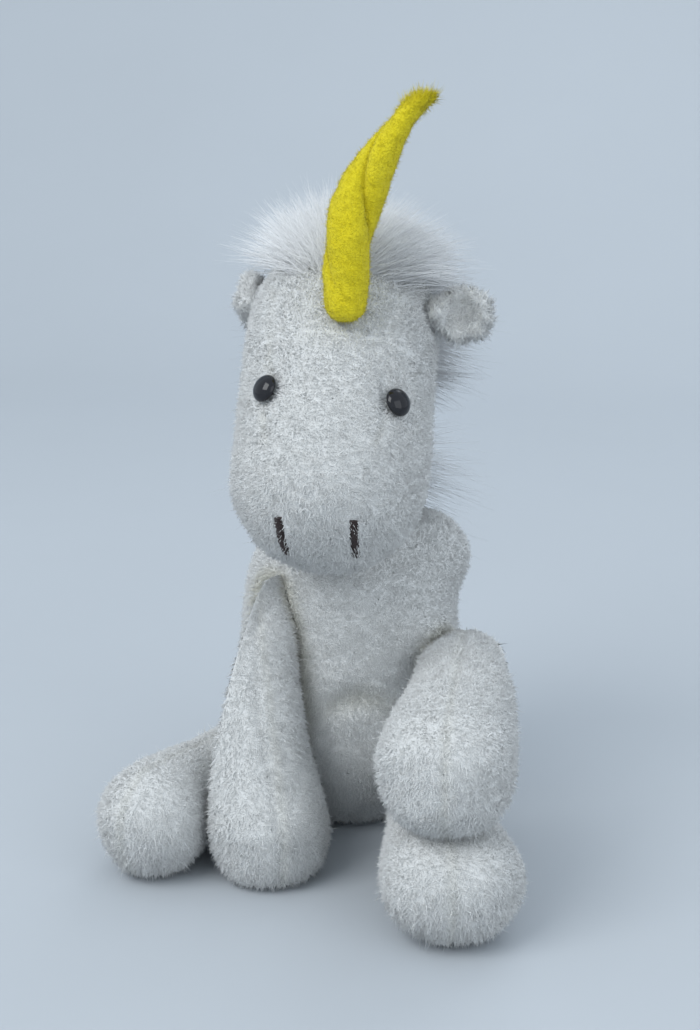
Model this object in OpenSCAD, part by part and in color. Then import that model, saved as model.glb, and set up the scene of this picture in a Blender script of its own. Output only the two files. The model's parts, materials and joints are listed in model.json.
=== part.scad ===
// Sitting plush unicorn, made the way a soft toy is sewn: each limb is a fabric cover
// over fibre stuffing, with pellets for weight in the seat, the paws and the feet.
// The origin is the centre of the flat seat, +Z is up and the toy faces -Y.
// Left and right are the toy's own, so its left side is +X.

/* [Torso] */
// Radius of the belly
belly_r = 31; // [30:0.5:32]
// Height of the belly's widest ring above the seat
belly_z = 24; // [23:0.5:25]
// Radius of the chest
chest_r = 27.5; // [27:0.5:28]
// Height of the chest's rounding centre above the seat
chest_z = 57; // [56:0.5:58]
// Radius of the round pellet pouch inside the seat
pouch_r = 18; // [15:0.5:18]

/* [Neck] */
// Radius of the neck ball that joins the head to the torso
neck_r = 14; // [12:0.5:14]
// Centre of the neck ball
neck_at = [0, -2, 90]; // [-10:1:100]

/* [Head] */
// Centre of the crown
crown_at = [0, -12, 128]; // [-20:1:140]
// Radius of the crown
crown_r = 23; // [22.5:0.5:23.5]
// Radius of the muzzle
muzzle_r = 22; // [21:0.5:22.5]
// Distance from the crown's centre to the muzzle's centre
face_l = 38.4; // [36:0.2:40]
// Angle of the face below the horizontal
face_down = 51.3; // [49:0.1:53]

/* [Face] */
// Diameter of each safety eye
eye_d = 6.4; // [6:0.1:7]
// Distance of the right eye along the face from the crown's centre
right_eye_along = 25.5; // [24:0.5:28]
// Distance of the left eye along the face from the crown's centre
left_eye_along = 27; // [24:0.5:28]
// Angle of the right eye to the side of the face's middle line
right_eye_turn = 36; // [34:1:44]
// Angle of the left eye to the side of the face's middle line
left_eye_turn = 45; // [34:1:46]
// Distance of each nostril's row of stitches from the middle line
nostril_x = 8.2; // [7:0.2:9]
// Angle of each nostril's upper end below the horizontal
nostril_top = 13; // [8:1:18]
// Length of each nostril's row over the muzzle's round
nostril_l = 12; // [10:0.5:13]

/* [Horn] */
// Centre of the horn's round lower end
horn_at = [4.2, -37.4, 139.5]; // [-50:0.1:145]
// Height from the lower end's centre to the tip
horn_l = 46; // [44:0.5:50]
// Mean radius of the twisted felt at the bottom
horn_r = 4.7; // [4.4:0.1:5.2]
// How far the tip leans to the toy's left
horn_lean = 17.5; // [12:0.5:20]
// Angle that the two lobes turn about each other on the way up
horn_twist = 300; // [240:10:360]

/* [Hair] */
// Thickness of the mane's root strip
mane_t = 7; // [5:0.5:8]
// Width of the mane's root strip
mane_w = 30; // [20:1:32]
// Angle from the crown's top down the back to the mane's lower end
mane_sweep = 118; // [110:1:122]
// Length of the tail
tail_l = 24; // [20:1:28]

/* [Ears] */
// How far each ear stands out from the head
ear_l = 13.5; // [12:0.5:14]
// Height of each ear
ear_h = 14; // [12:0.5:15]
// Thickness of each of the ear's two fabric layers
ear_t = 1.5; // [1.2:0.1:1.8]
// Height of the ears' middle above the seat
ear_z = 134.5; // [132:0.5:137]

/* [Front legs] */
// Radius at the shoulders
shoulder_r = 9.5; // [9:0.5:10]
// Radius of the paws
paw_r = 13.5; // [13:0.1:13.6]
// Distance from each shoulder's centre to its paw's centre
foreleg_l = 54; // [53:0.5:55]
// Centre of the right shoulder
right_shoulder = [-21.5, -24, 60]; // [-30:0.5:64]
// Centre of the left shoulder, which slumps lower than the right one
left_shoulder = [31, -20, 45]; // [-30:0.5:64]
// Angle of the right front leg towards the middle
right_foreleg_turn = 21; // [20:0.5:22]
// Angle of the left front leg away from the middle
left_foreleg_turn = 1.5; // [0:0.5:3]

/* [Hind legs] */
// Radius at the hips
hip_r = 10; // [9.5:0.5:10.5]
// Radius of the feet
foot_r = 14; // [13:0.1:14]
// Distance from each hip's centre to its foot's centre
hindleg_l = 43; // [42:0.5:44]
// Centre of the right foot on the floor
right_foot = [-42, -51.5]; // [-80:0.5:0]
// Centre of the left foot on the floor
left_foot = [32.7, -74.7]; // [-80:0.1:40]
// Angle of the right hind leg away from the middle
right_hindleg_turn = 20; // [18:1:21]
// Angle of the left hind leg away from the middle
left_hindleg_turn = 10.5; // [8:0.5:12]

/* [Hidden] */

$fn = 32;
// Thickness of the plush fabric with its pile pressed down
cover_t = 2;
// Gap between pieces that lie against each other inside one limb
inner_gap = 0.3;
// Gap between limbs that lie against each other
joint_gap = 0.5;
// Gap around a limb's round root, which turns in its hollow
root_gap = 2.2;
// Spare by which a cutting form reaches past what it cuts
cut_over = 1;
// Thickness of the pellet pouch's thin cloth
pouch_t = 0.6;
// Centre of the pouch, behind the hips, and the height of its flat top
pouch_at = [2, 7, 21];
pouch_top = 32;
// Steps of each quarter round in a turned outline
arc_steps = 8;

// The right paw rests on the floor, and the left one lies on top of the left foot
right_foreleg_down = asin((right_shoulder[2] - paw_r) / foreleg_l);
left_foreleg_down = asin((left_shoulder[2] - 2 * foot_r - paw_r - joint_gap) / foreleg_l);

// Centre of a hip whose leg reaches the given foot, at the given turn
function hip(foot, turn) =
  [foot[0] - hindleg_l * sin(turn), foot[1] + hindleg_l * cos(turn), foot_r];

// Each limb is [root centre, turn towards the toy's left, angle below the horizontal,
// root radius, tip radius, distance between the two centres]
right_foreleg =
  [right_shoulder, right_foreleg_turn, right_foreleg_down, shoulder_r, paw_r, foreleg_l];
left_foreleg =
  [left_shoulder, left_foreleg_turn, left_foreleg_down, shoulder_r, paw_r, foreleg_l];
right_hindleg =
  [hip(right_foot, -right_hindleg_turn), -right_hindleg_turn, 0, hip_r, foot_r, hindleg_l];
left_hindleg =
  [hip(left_foot, left_hindleg_turn), left_hindleg_turn, 0, hip_r, foot_r, hindleg_l];
LIMBS = [right_foreleg, left_foreleg, right_hindleg, left_hindleg];

// Share of a limb's length, from its root, that holds fibre; the rest holds pellets
fibre_share = 0.8;

// Angle around the head's own axis where its turned outline starts and ends
head_seam_turn = 35;

// The safety eye's dome, its shank through the fabric and the washer that locks it
eye_proud = 1.6;
shank_r = 0.8;
shank_l = 6;
// How far the shank runs on into the dome
shank_bite = 0.5;
washer_r = 4;
washer_t = 1;
washer_fit = 0.1;
washer_drop = 0.6;

// Nostrils are satin stitches laid side by side
stitches = 12;
stitch_w = 2;
stitch_t = 0.9;

// The horn is two felt lobes twisted together, which grow thinner and lean towards the tip
horn_sides = 20;
horn_rings = 26;
horn_end_rings = 5;
horn_lobe_share = 0.2;
horn_tip_share = 0.6;
horn_bow = 2.6;
horn_hollow_r = 7.5;
// The tip closes in steps, each a height past the end and a share of the radius
horn_tip_steps = [[0.02, 0.7], [0.03, 0.35]];

// The closing seam runs up the middle of the torso's back, between these heights
seam_stitches = 8;
seam_low = 36;
seam_high = 54;
seam_thread_r = 0.5;
seam_stitch_l = 4;

// The ears are curved flaps, hinged at the side of the head
ear_curl_r = 14;
// Where each ear's root is, to the side and forwards; the folded right one sits further back
left_ear_root = [24, -17];
right_ear_root = [-25, -6];
// The left ear stands out and a little forward; the right one is folded back
left_ear_back_turn = -12;
right_ear_back_turn = 82;

tail_r = 4;
tail_tip_r = 6;
tail_z = 20;
tail_down = 22;

// Angles above the horizontal where the forelock's pad starts and ends on the crown
forelock_low = 62;
forelock_high = 92;
forelock_t = 7;
forelock_w = 26;

// Points of an arc of radius r about [0, lift], from one angle to another
function arc(r, lift, from, to) =
  [for (i = [0:arc_steps]) let(a = from + (to - from) * i / arc_steps) [r * cos(a), lift + r * sin(a)]];

// Half outline of a limb: a round root, a taper and a round tip
function pod(r1, r2, reach, from = -90) = concat(
  from > -90 ? [[0, r1 * sin(from)]] : [],
  arc(r1, 0, from, 0),
  arc(r2, reach, 0, 90)
);

// Position along a limb where the fibre ends
function fill_split(limb) = limb[5] * fibre_share;

module turned(outline) rotate_extrude() polygon(outline);

module along(limb)
  translate(limb[0])
    rotate([0, 0, limb[1]])
      rotate([90 + limb[2], 0, 0])
        children();

module limb_form(limb, inset)
  turned(pod(limb[3] - inset, limb[4] - inset, limb[5]));

module limb_cover(limb) color("whitesmoke") along(limb) difference() {
  limb_form(limb, 0);
  limb_form(limb, cover_t);
}

// The part of a limb's filling between two positions along it
module limb_fill(limb, from, to) along(limb) intersection() {
  limb_form(limb, cover_t + inner_gap);
  translate([0, 0, from])
    cylinder(r = 2 * limb[4], h = to - from);
}

module limb_stuffing(limb) color("ivory")
  limb_fill(limb, -limb[3], fill_split(limb));

module limb_pellets(limb) color("lightgray")
  limb_fill(limb, fill_split(limb) + inner_gap, limb[5] + limb[4]);

// The torso's outer form, drawn in by inset, with a hollow where each limb sits against it
module torso_form(inset) difference() {
  translate([0, 0, belly_z])
    turned(pod(belly_r - inset, chest_r - inset, chest_z - belly_z,
      -asin((belly_z - inset) / (belly_r - inset))));
  for (limb = LIMBS) {
    along(limb)
      limb_form(limb, -joint_gap - inset);
    translate(limb[0])
      sphere(limb[3] + root_gap + inset);
  }
  translate(neck_at)
    sphere(neck_r + joint_gap + inset);
}

module torso_cover() color("whitesmoke") difference() {
  torso_form(0);
  torso_form(cover_t);
}

module pouch_form(inset) intersection() {
  translate(pouch_at)
    sphere(pouch_r - inset);
  cylinder(r = 2 * belly_r, h = pouch_top - inset);
}

module torso_stuffing() color("ivory") difference() {
  torso_form(cover_t + inner_gap);
  cylinder(r = 2 * belly_r, h = pouch_top + inner_gap);
}

module pellet_pouch() color("gainsboro") difference() {
  pouch_form(0);
  pouch_form(pouch_t);
}

module seat_pellets() color("lightgray")
  pouch_form(pouch_t + inner_gap);

// Ladder stitches that close the back seam, lying across it on the cover
module closing_stitches() color("white")
  for (i = [0:seam_stitches - 1]) {
    z = seam_low + (seam_high - seam_low) * i / (seam_stitches - 1);
    back_y = belly_r + (chest_r - belly_r) * (z - belly_z) / (chest_z - belly_z);
    translate([0, back_y + 2 * seam_thread_r, z])
      rotate([0, 90, 0])
        cylinder(r = seam_thread_r, h = seam_stitch_l, center = true, $fn = 16);
  }

module neck_cover() color("whitesmoke") translate(neck_at) difference() {
  sphere(neck_r);
  sphere(neck_r - cover_t);
}

module neck_stuffing() color("ivory") translate(neck_at)
  sphere(neck_r - cover_t - inner_gap);

module on_head() translate(crown_at) rotate([90 + face_down, 0, 0]) children();

// A place on the face for an eye: +Z points out of the fabric, whose surface is at 0
module at_eye(side) on_head() {
  along = side < 0 ? right_eye_along : left_eye_along;
  turn = side < 0 ? right_eye_turn : left_eye_turn;
  rotate([0, 0, 90 - side * turn])
    translate([crown_r + (muzzle_r - crown_r) * along / face_l, 0, along])
      rotate([0, 90, 0])
        children();
}

// The horn's seat is a shallow round hollow in the forehead, wide enough for the horn to lean
module horn_hollow(inset) translate(horn_at)
  sphere(horn_hollow_r + inset);

module head_form(inset) difference() {
  on_head()
    rotate([0, 0, head_seam_turn])
      turned(pod(crown_r - inset, muzzle_r - inset, face_l));
  translate(neck_at)
    sphere(neck_r + joint_gap + inset);
  horn_hollow(inset);
}

module head_cover() color("whitesmoke") difference() {
  head_form(0);
  head_form(cover_t);
  for (side = [-1, 1])
    at_eye(side)
      cylinder(r = shank_r + washer_fit, h = 2 * (cover_t + cut_over), center = true);
}

module head_stuffing() color("ivory") difference() {
  head_form(cover_t + inner_gap);
  for (side = [-1, 1])
    at_eye(side)
      cylinder(r = washer_r + inner_gap, h = 2 * (shank_l + inner_gap), center = true);
}

// A glossy dome on the fabric, with a shank through to the inside
module eye(side) color("black") at_eye(side) {
  translate([0, 0, inner_gap])
    intersection() {
      dome_r = (eye_d * eye_d / 4 + eye_proud * eye_proud) / (2 * eye_proud);
      translate([0, 0, eye_proud - dome_r])
        sphere(dome_r);
      cylinder(r = eye_d / 2 + cut_over, h = eye_proud + cut_over);
    }
  translate([0, 0, -shank_l + shank_bite])
    cylinder(r = shank_r, h = shank_l + inner_gap);
}

module eye_washer(side) color("white") at_eye(side)
  translate([0, 0, -cover_t - washer_drop - washer_t])
    difference() {
      cylinder(r = washer_r, h = washer_t);
      translate([0, 0, -cut_over])
        cylinder(r = shank_r + washer_fit, h = washer_t + 2 * cut_over);
    }

// Satin stitches in an upright row on the front of the muzzle
module nostril(side) color("black") {
  muzzle_at = crown_at - face_l * [0, cos(face_down), sin(face_down)];
  row_r = sqrt(muzzle_r * muzzle_r - nostril_x * nostril_x);
  row_angle = nostril_l / row_r * 180 / PI;
  for (i = [0:stitches - 1])
    translate(muzzle_at + [side * nostril_x, 0, 0])
      rotate([nostril_top + row_angle * i / (stitches - 1), 0, 0])
        translate([0, -row_r - inner_gap - stitch_t / 2, 0])
          rotate([0, 90, 0])
            cylinder(r = stitch_t / 2, h = stitch_w, center = true, $fn = 16);
}

// Middle of the horn at a share t of its height, leaning more towards the tip
function horn_middle(t) = [horn_lean * pow(max(t, 0), horn_bow), 0, horn_l * t];
// Mean radius at a share t of the height, which narrows towards the tip
function horn_mean_r(t) = horn_r * (1 - (1 - horn_tip_share) * t * t);
// Ring of points around the middle at a share t, drawn in by a share for the rounded ends
function horn_ring(t, share) = let(m = horn_middle(t))
  [for (i = [0:horn_sides - 1])
    let(a = 360 * i / horn_sides,
        r = share * horn_mean_r(t) * (1 + horn_lobe_share * cos(2 * a)),
        w = a - horn_twist * t)
      [m[0] + r * cos(w), m[1] + r * sin(w), m[2]]];
// The lower end is half a ball, and the tip closes in a few short steps
function horn_points() = [
  for (k = [1:horn_end_rings]) let(a = 90 * k / (horn_end_rings + 1))
    each horn_ring(-horn_r / horn_l * cos(a), sin(a)),
  for (k = [0:horn_rings]) each horn_ring(k / horn_rings, 1),
  for (step = horn_tip_steps) each horn_ring(1 + step[0], step[1])
];
function ring_count() = horn_end_rings + horn_rings + 1 + len(horn_tip_steps);
function horn_skin() = [for (k = [0:ring_count() - 2], i = [0:horn_sides - 1])
  let(a = k * horn_sides + i, b = k * horn_sides + (i + 1) % horn_sides)
    each [[a, a + horn_sides, b + horn_sides], [a, b + horn_sides, b]]];

module horn() color("gold") translate(horn_at)
  polyhedron(
    points = horn_points(),
    faces = concat(
      horn_skin(),
      [for (i = [1:horn_sides - 2]) [0, i, i + 1]],
      [for (i = [1:horn_sides - 2]) let(top = (ring_count() - 1) * horn_sides)
        [top, top + i + 1, top + i]]
    ),
    convexity = 4
  );

// A pad of long-pile fabric laid over the crown, from one angle to another over the top
module hair_pad(from, to, thickness, width) translate(crown_at)
  rotate([0, 90, 0])
    translate([0, 0, -width / 2])
      rotate([0, 0, 180 - to + 90])
        rotate_extrude(angle = to - from)
          translate([crown_r + joint_gap, 0])
            square([thickness, width]);

module forelock() color("white") hair_pad(forelock_low, forelock_high, forelock_t, forelock_w);

module mane() color("white")
  hair_pad(forelock_high + 2, 90 + mane_sweep, mane_t, mane_w);

// Half outline of the ear, from its root out to its tip
function ear_outline() = [
  [0, -0.3 * ear_h], [0.35 * ear_l, -0.5 * ear_h], [0.8 * ear_l, -0.42 * ear_h],
  [ear_l, -0.1 * ear_h], [0.93 * ear_l, 0.28 * ear_h], [0.6 * ear_l, 0.5 * ear_h],
  [0.25 * ear_l, 0.45 * ear_h], [0, 0.3 * ear_h]
];

// One curved fabric layer of an ear; layer 0 is the front and layer 1 the back
module ear_layer(side, layer) color("whitesmoke")
  translate(concat(side > 0 ? left_ear_root : right_ear_root, ear_z))
    mirror([side > 0 ? 0 : 1, 0, 0])
      rotate([0, 0, side > 0 ? left_ear_back_turn : right_ear_back_turn])
        intersection() {
          rotate([90, 0, 0])
            linear_extrude(height = 4 * ear_curl_r, center = true)
              polygon(ear_outline());
          translate([ear_l / 2, -ear_curl_r, 0])
            difference() {
              radius = ear_curl_r + layer * (ear_t + inner_gap);
              sphere(radius + ear_t);
              sphere(radius);
              translate([-2 * ear_curl_r, -4 * ear_curl_r, -2 * ear_curl_r])
                cube([4 * ear_curl_r, 4 * ear_curl_r, 4 * ear_curl_r]);
            }
        }

module tail() color("white")
  translate([0, belly_r + tail_r + joint_gap, tail_z])
    rotate([-90 - tail_down, 0, 0])
      turned(pod(tail_r, tail_tip_r, tail_l));

torso_cover();
torso_stuffing();
pellet_pouch();
seat_pellets();
closing_stitches();
neck_cover();
neck_stuffing();
head_cover();
head_stuffing();
eye(-1);  // right_eye
eye(1);  // left_eye
eye_washer(-1);  // right_eye_washer
eye_washer(1);  // left_eye_washer
nostril(-1);  // right_nostril
nostril(1);  // left_nostril
horn();
forelock();
mane();
ear_layer(-1, 0);  // right_ear_front
ear_layer(-1, 1);  // right_ear_back
ear_layer(1, 0);  // left_ear_front
ear_layer(1, 1);  // left_ear_back
limb_cover(right_foreleg);  // right_foreleg_cover
limb_stuffing(right_foreleg);  // right_foreleg_stuffing
limb_pellets(right_foreleg);  // right_paw_pellets
limb_cover(left_foreleg);  // left_foreleg_cover
limb_stuffing(left_foreleg);  // left_foreleg_stuffing
limb_pellets(left_foreleg);  // left_paw_pellets
limb_cover(right_hindleg);  // right_hindleg_cover
limb_stuffing(right_hindleg);  // right_hindleg_stuffing
limb_pellets(right_hindleg);  // right_foot_pellets
limb_cover(left_hindleg);  // left_hindleg_cover
limb_stuffing(left_hindleg);  // left_hindleg_stuffing
limb_pellets(left_hindleg);  // left_foot_pellets
tail();
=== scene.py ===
import json
import math

import bmesh
import bpy
import numpy as np
from bpy.props import FloatProperty, FloatVectorProperty, IntProperty, PointerProperty
from mathutils import Matrix, Vector, noise
from mathutils.bvhtree import BVHTree


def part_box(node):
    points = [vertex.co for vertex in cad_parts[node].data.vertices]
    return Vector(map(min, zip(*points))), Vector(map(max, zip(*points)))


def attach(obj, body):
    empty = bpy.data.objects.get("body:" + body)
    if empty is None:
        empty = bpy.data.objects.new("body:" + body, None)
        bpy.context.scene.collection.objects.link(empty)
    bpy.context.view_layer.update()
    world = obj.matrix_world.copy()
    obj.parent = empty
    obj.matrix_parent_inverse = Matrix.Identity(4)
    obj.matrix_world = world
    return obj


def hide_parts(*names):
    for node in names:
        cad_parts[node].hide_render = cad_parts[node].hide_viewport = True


bl_info = {
    "name": "Plush Unicorn Maker",
    "version": (1, 0, 0),
    "blender": (4, 5, 0),
    "location": "View3D > Sidebar > Plush Unicorn",
    "description": "Sews, stuffs and finishes a sitting plush unicorn around its working frame",
    "category": "Object",
}

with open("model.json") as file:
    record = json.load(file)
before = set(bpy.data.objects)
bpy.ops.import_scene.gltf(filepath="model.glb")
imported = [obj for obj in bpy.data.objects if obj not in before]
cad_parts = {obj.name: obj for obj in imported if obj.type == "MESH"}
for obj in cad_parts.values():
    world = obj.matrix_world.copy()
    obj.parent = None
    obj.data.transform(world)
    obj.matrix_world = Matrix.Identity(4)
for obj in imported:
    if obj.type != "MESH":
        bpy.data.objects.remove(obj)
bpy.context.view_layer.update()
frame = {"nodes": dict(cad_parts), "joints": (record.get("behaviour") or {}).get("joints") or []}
JOINTS = {joint["name"]: np.array(joint["pos_m"], float) for joint in frame["joints"]}
SIDES = ("right", "left")
CROWN = np.array((0, -0.012, 0.128))
FACE_DOWN = math.radians(51.3)
FACE = np.array((0, -math.cos(FACE_DOWN), -math.sin(FACE_DOWN)))
FACE_LENGTH = 0.0384
# fibres stop this far above the floor, and skin lower than RESTING_HEIGHT keeps PRESSED_PILE of its pile
FIBRE_FLOOR = 0.0002
RESTING_HEIGHT = 0.0006
PRESSED_PILE = 0.3


class PlushSizes(bpy.types.PropertyGroup):
    """Sizes of the fabric, its pile and the hair"""

    pile_length: FloatProperty(
        name="Pile length", description="Length of the short pile on the covers",
        default=0.00140, min=0.0005, unit="LENGTH")
    pile_thickness: FloatProperty(
        name="Tuft radius", description="Radius of one tuft of the short pile at its root",
        default=0.00015, min=0.00005, unit="LENGTH")
    tufts_per_cm2: FloatProperty(
        name="Tufts per square centimetre", description="How closely the pile's tufts stand",
        default=380.0, min=1.0)
    hair_length: FloatProperty(
        name="Hair length", description="Length of the forelock's hair",
        default=0.0112, min=0.004, unit="LENGTH")
    mane_length: FloatProperty(
        name="Mane length", description="Length of the hair down the back of the head",
        default=0.0102, min=0.004, unit="LENGTH")
    hair_thickness: FloatProperty(
        name="Hair radius", description="Radius of one hair at its root",
        default=0.000085, min=0.00002, unit="LENGTH")
    cloth_cell: FloatProperty(
        name="Cloth cell", description="Size of the cloth mesh's cells before it is stuffed",
        default=0.0016, min=0.0008, unit="LENGTH")
    stuffing_push: FloatProperty(
        name="Stuffing push", description="How far the stuffing may push the cloth out between seams",
        default=0.0013, min=0.0, unit="LENGTH")
    seam_depth: FloatProperty(
        name="Seam depth", description="How deep a sewn seam sits between its two panels",
        default=0.0007, min=0.0, unit="LENGTH")


class PlushColours(bpy.types.PropertyGroup):
    """Colours of the fabrics and trims"""

    cover: FloatVectorProperty(
        name="Cover", description="White of the plush fabric",
        subtype="COLOR", size=3, default=(0.90, 0.905, 0.89), min=0, max=1)
    hair: FloatVectorProperty(
        name="Long hair", description="White of the long hair",
        subtype="COLOR", size=3, default=(0.88, 0.89, 0.90), min=0, max=1)
    horn: FloatVectorProperty(
        name="Horn felt", description="Yellow of the horn's felt",
        subtype="COLOR", size=3, default=(0.78, 0.64, 0.012), min=0, max=1)
    eye: FloatVectorProperty(
        name="Eye", description="Black of the eyes' plastic",
        subtype="COLOR", size=3, default=(0.006, 0.006, 0.008), min=0, max=1)
    nostril: FloatVectorProperty(
        name="Nostril thread", description="Dark brown of the nostrils' thread",
        subtype="COLOR", size=3, default=(0.018, 0.008, 0.007), min=0, max=1)
    floor: FloatVectorProperty(
        name="Floor", description="Pale floor and backdrop",
        subtype="COLOR", size=3, default=(0.50, 0.53, 0.56), min=0, max=1)


# ---- small helpers for meshes ----


def points_of(mesh):
    """A mesh's points as rows of x, y, z"""
    co = np.empty(len(mesh.vertices) * 3, np.float32)
    mesh.vertices.foreach_get("co", co)
    return co.reshape(-1, 3).astype(float)


def normals_of(mesh):
    """The directions in which a mesh's points face"""
    out = np.empty(len(mesh.vertices) * 3, np.float32)
    mesh.vertex_normals.foreach_get("vector", out)
    return out.reshape(-1, 3).astype(float)


def edges_of(mesh):
    """A mesh's edges as rows of two point numbers"""
    out = np.empty(len(mesh.edges) * 2, np.int32)
    mesh.edges.foreach_get("vertices", out)
    return out.reshape(-1, 2)


def place(mesh, co):
    """Writes a mesh's points back"""
    mesh.vertices.foreach_set("co", np.ascontiguousarray(co, np.float32).ravel())
    mesh.update()


def store(mesh, name, values):
    """Stores one number or one vector at each point, for the fibres or a material to read"""
    values = np.asarray(values, np.float32)
    kind, field = ("FLOAT_VECTOR", "vector") if values.ndim == 2 else ("FLOAT", "value")
    layer = mesh.attributes.get(name) or mesh.attributes.new(name, kind, "POINT")
    layer.data.foreach_set(field, np.ascontiguousarray(values).ravel())


def add_object(name, mesh):
    """Links a mesh to the scene as an object"""
    obj = bpy.data.objects.new(name, mesh)
    bpy.context.scene.collection.objects.link(obj)
    return obj


def with_modifiers(obj):
    """An object's mesh after its modifiers, as a plain mesh"""
    graph = bpy.context.evaluated_depsgraph_get()
    graph.update()
    return bpy.data.meshes.new_from_object(obj.evaluated_get(graph))


def islands(count, edges):
    """A label for each point, the same for all points that edges join"""
    label = np.arange(count)
    a, b = edges[:, 0], edges[:, 1]
    while True:
        low = np.minimum(label[a], label[b])
        before = label.copy()
        np.minimum.at(label, a, low)
        np.minimum.at(label, b, low)
        label = label[label]
        if np.array_equal(before, label):
            return label


def merged_copy(node):
    """A CAD node's mesh with its loose triangles joined"""
    mesh = bpy.data.meshes.new(node + "_copy")
    work = bmesh.new()
    work.from_mesh(frame["nodes"][node].data)
    bmesh.ops.remove_doubles(work, verts=work.verts, dist=2e-6)
    work.to_mesh(mesh)
    work.free()
    return mesh


def keep_points(mesh, keep):
    """Deletes the points of a mesh that aren't kept"""
    work = bmesh.new()
    work.from_mesh(mesh)
    work.verts.ensure_lookup_table()
    gone = [work.verts[i] for i in np.nonzero(~keep)[0]]
    bmesh.ops.delete(work, geom=gone, context="VERTS")
    work.to_mesh(mesh)
    work.free()


def skin_tree(mesh):
    """A mesh's faces, ready for finding the nearest point on them"""
    return BVHTree.FromPolygons([v.co for v in mesh.vertices], [p.vertices for p in mesh.polygons])


def largest_island(mesh):
    """Keeps only the island of a mesh that spans the largest box"""
    co, label = points_of(mesh), islands(len(mesh.vertices), edges_of(mesh))
    names = np.unique(label)
    spans = [np.ptp(co[label == n], axis=0).sum() for n in names]
    keep_points(mesh, label == names[int(np.argmax(spans))])
    return mesh


def relax(co, edges, times, share=0.5):
    """Evens points out towards their neighbours"""
    count = len(co)
    ends = np.concatenate((edges[:, 0], edges[:, 1]))
    others = np.concatenate((edges[:, 1], edges[:, 0]))
    degree = np.maximum(np.bincount(ends, minlength=count), 1)[:, None]
    for _ in range(times):
        total = np.stack([np.bincount(ends, co[others, k], count) for k in range(3)], 1)
        co = co + share * (total / degree - co)
    return co


def uneven(co, size, seed):
    """Smooth noise from about -1 to 1 at each point, with bumps of the given size"""
    shift = Vector((seed * 7.3, seed * 3.1, seed * 5.7))
    return np.array([noise.noise(Vector(p) / size + shift) for p in co])


def smooth_step(low, high, x):
    """0 below low, 1 above high and a soft rise between"""
    t = np.clip((x - low) / (high - low), 0, 1)
    return t * t * (3 - 2 * t)


def hill_of(x, width):
    """1 where a value is 0, falling smoothly to 0 over a width to either side"""
    return np.exp(-((x / width) ** 2))


def from_line(co, line):
    """Distance of each point from a line through the given points"""
    best = np.full(len(co), 1e9)
    line = np.asarray(line, float)
    for a, b in zip(line[:-1], line[1:]):
        d = b - a
        t = np.clip((co - a) @ d / (d @ d), 0, 1)
        best = np.minimum(best, np.linalg.norm(co - a - t[:, None] * d, axis=1))
    return best


# ---- limbs and other round forms ----


class Limb:
    """A tapered round form: its root, direction, length and two radii, read from the frame"""

    def __init__(self, node, root):
        co = points_of(frame["nodes"][node].data)
        away = co - root
        far = away[np.argmax(np.linalg.norm(away, axis=1))]
        self.root = np.array(root, float)
        self.way = far / np.linalg.norm(far)
        along = away @ self.way
        aside = np.linalg.norm(away - along[:, None] * self.way, axis=1)
        self.tip_r = float(aside.max())
        self.root_r = float(-along.min())
        self.reach = float(along.max()) - self.tip_r
        self.tip = self.root + self.way * self.reach

    def beyond(self, co):
        """Distance of points outside the form, and the directions away from its middle line"""
        t = np.clip((co - self.root) @ self.way, 0, self.reach)
        out = co - self.root - t[:, None] * self.way
        size = np.linalg.norm(out, axis=1)
        radius = self.root_r + (self.tip_r - self.root_r) * t / self.reach
        return size - radius, out / np.maximum(size, 1e-9)[:, None]


def make_room(co, form, gap):
    """Presses points out of a neighbouring round form, with a gap left between"""
    beyond, out = form.beyond(co)
    push = np.clip(gap - beyond, 0, None)
    return co + out * push[:, None]


def press_flat(co, point, way, soft):
    """Flattens what reaches past a plane, rounding it off within a soft distance before"""
    way = np.asarray(way, float) / np.linalg.norm(way)
    s = (co - point) @ way
    over = np.clip(s + soft, 0, None)
    flat = np.where(over > 0, -soft + soft * (1 - np.exp(-over / soft)), s)
    return co + (flat - s)[:, None] * way


def set_down(co, low=0.0003, soft=0.0012):
    """Flattens what stands on the floor"""
    return press_flat(co, np.array((0, 0, low)), (0, 0, -1), soft)


# ---- sewing and stuffing ----


def cloth_form(name, nodes, cell, balls=(), evening=6):
    """One closed skin around CAD nodes, as even cells of cloth. Balls fill hollows in the form."""
    work = bmesh.new()
    for node in nodes:
        copy = merged_copy(node)
        work.from_mesh(copy)
        bpy.data.meshes.remove(copy)
    for centre, radius in balls:
        bmesh.ops.create_icosphere(
            work, subdivisions=4, radius=radius, matrix=Matrix.Translation(Vector(centre)))
    mesh = bpy.data.meshes.new(name)
    work.to_mesh(mesh)
    work.free()
    obj = add_object(name, mesh)
    remesh = obj.modifiers.new("even cells", "REMESH")
    remesh.mode = "VOXEL"
    remesh.voxel_size = cell
    new = with_modifiers(obj)
    obj.modifiers.clear()
    obj.data = largest_island(new)
    obj.data.name = name
    bpy.data.meshes.remove(mesh)
    place(obj.data, relax(points_of(obj.data), edges_of(obj.data), evening))
    return obj


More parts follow.
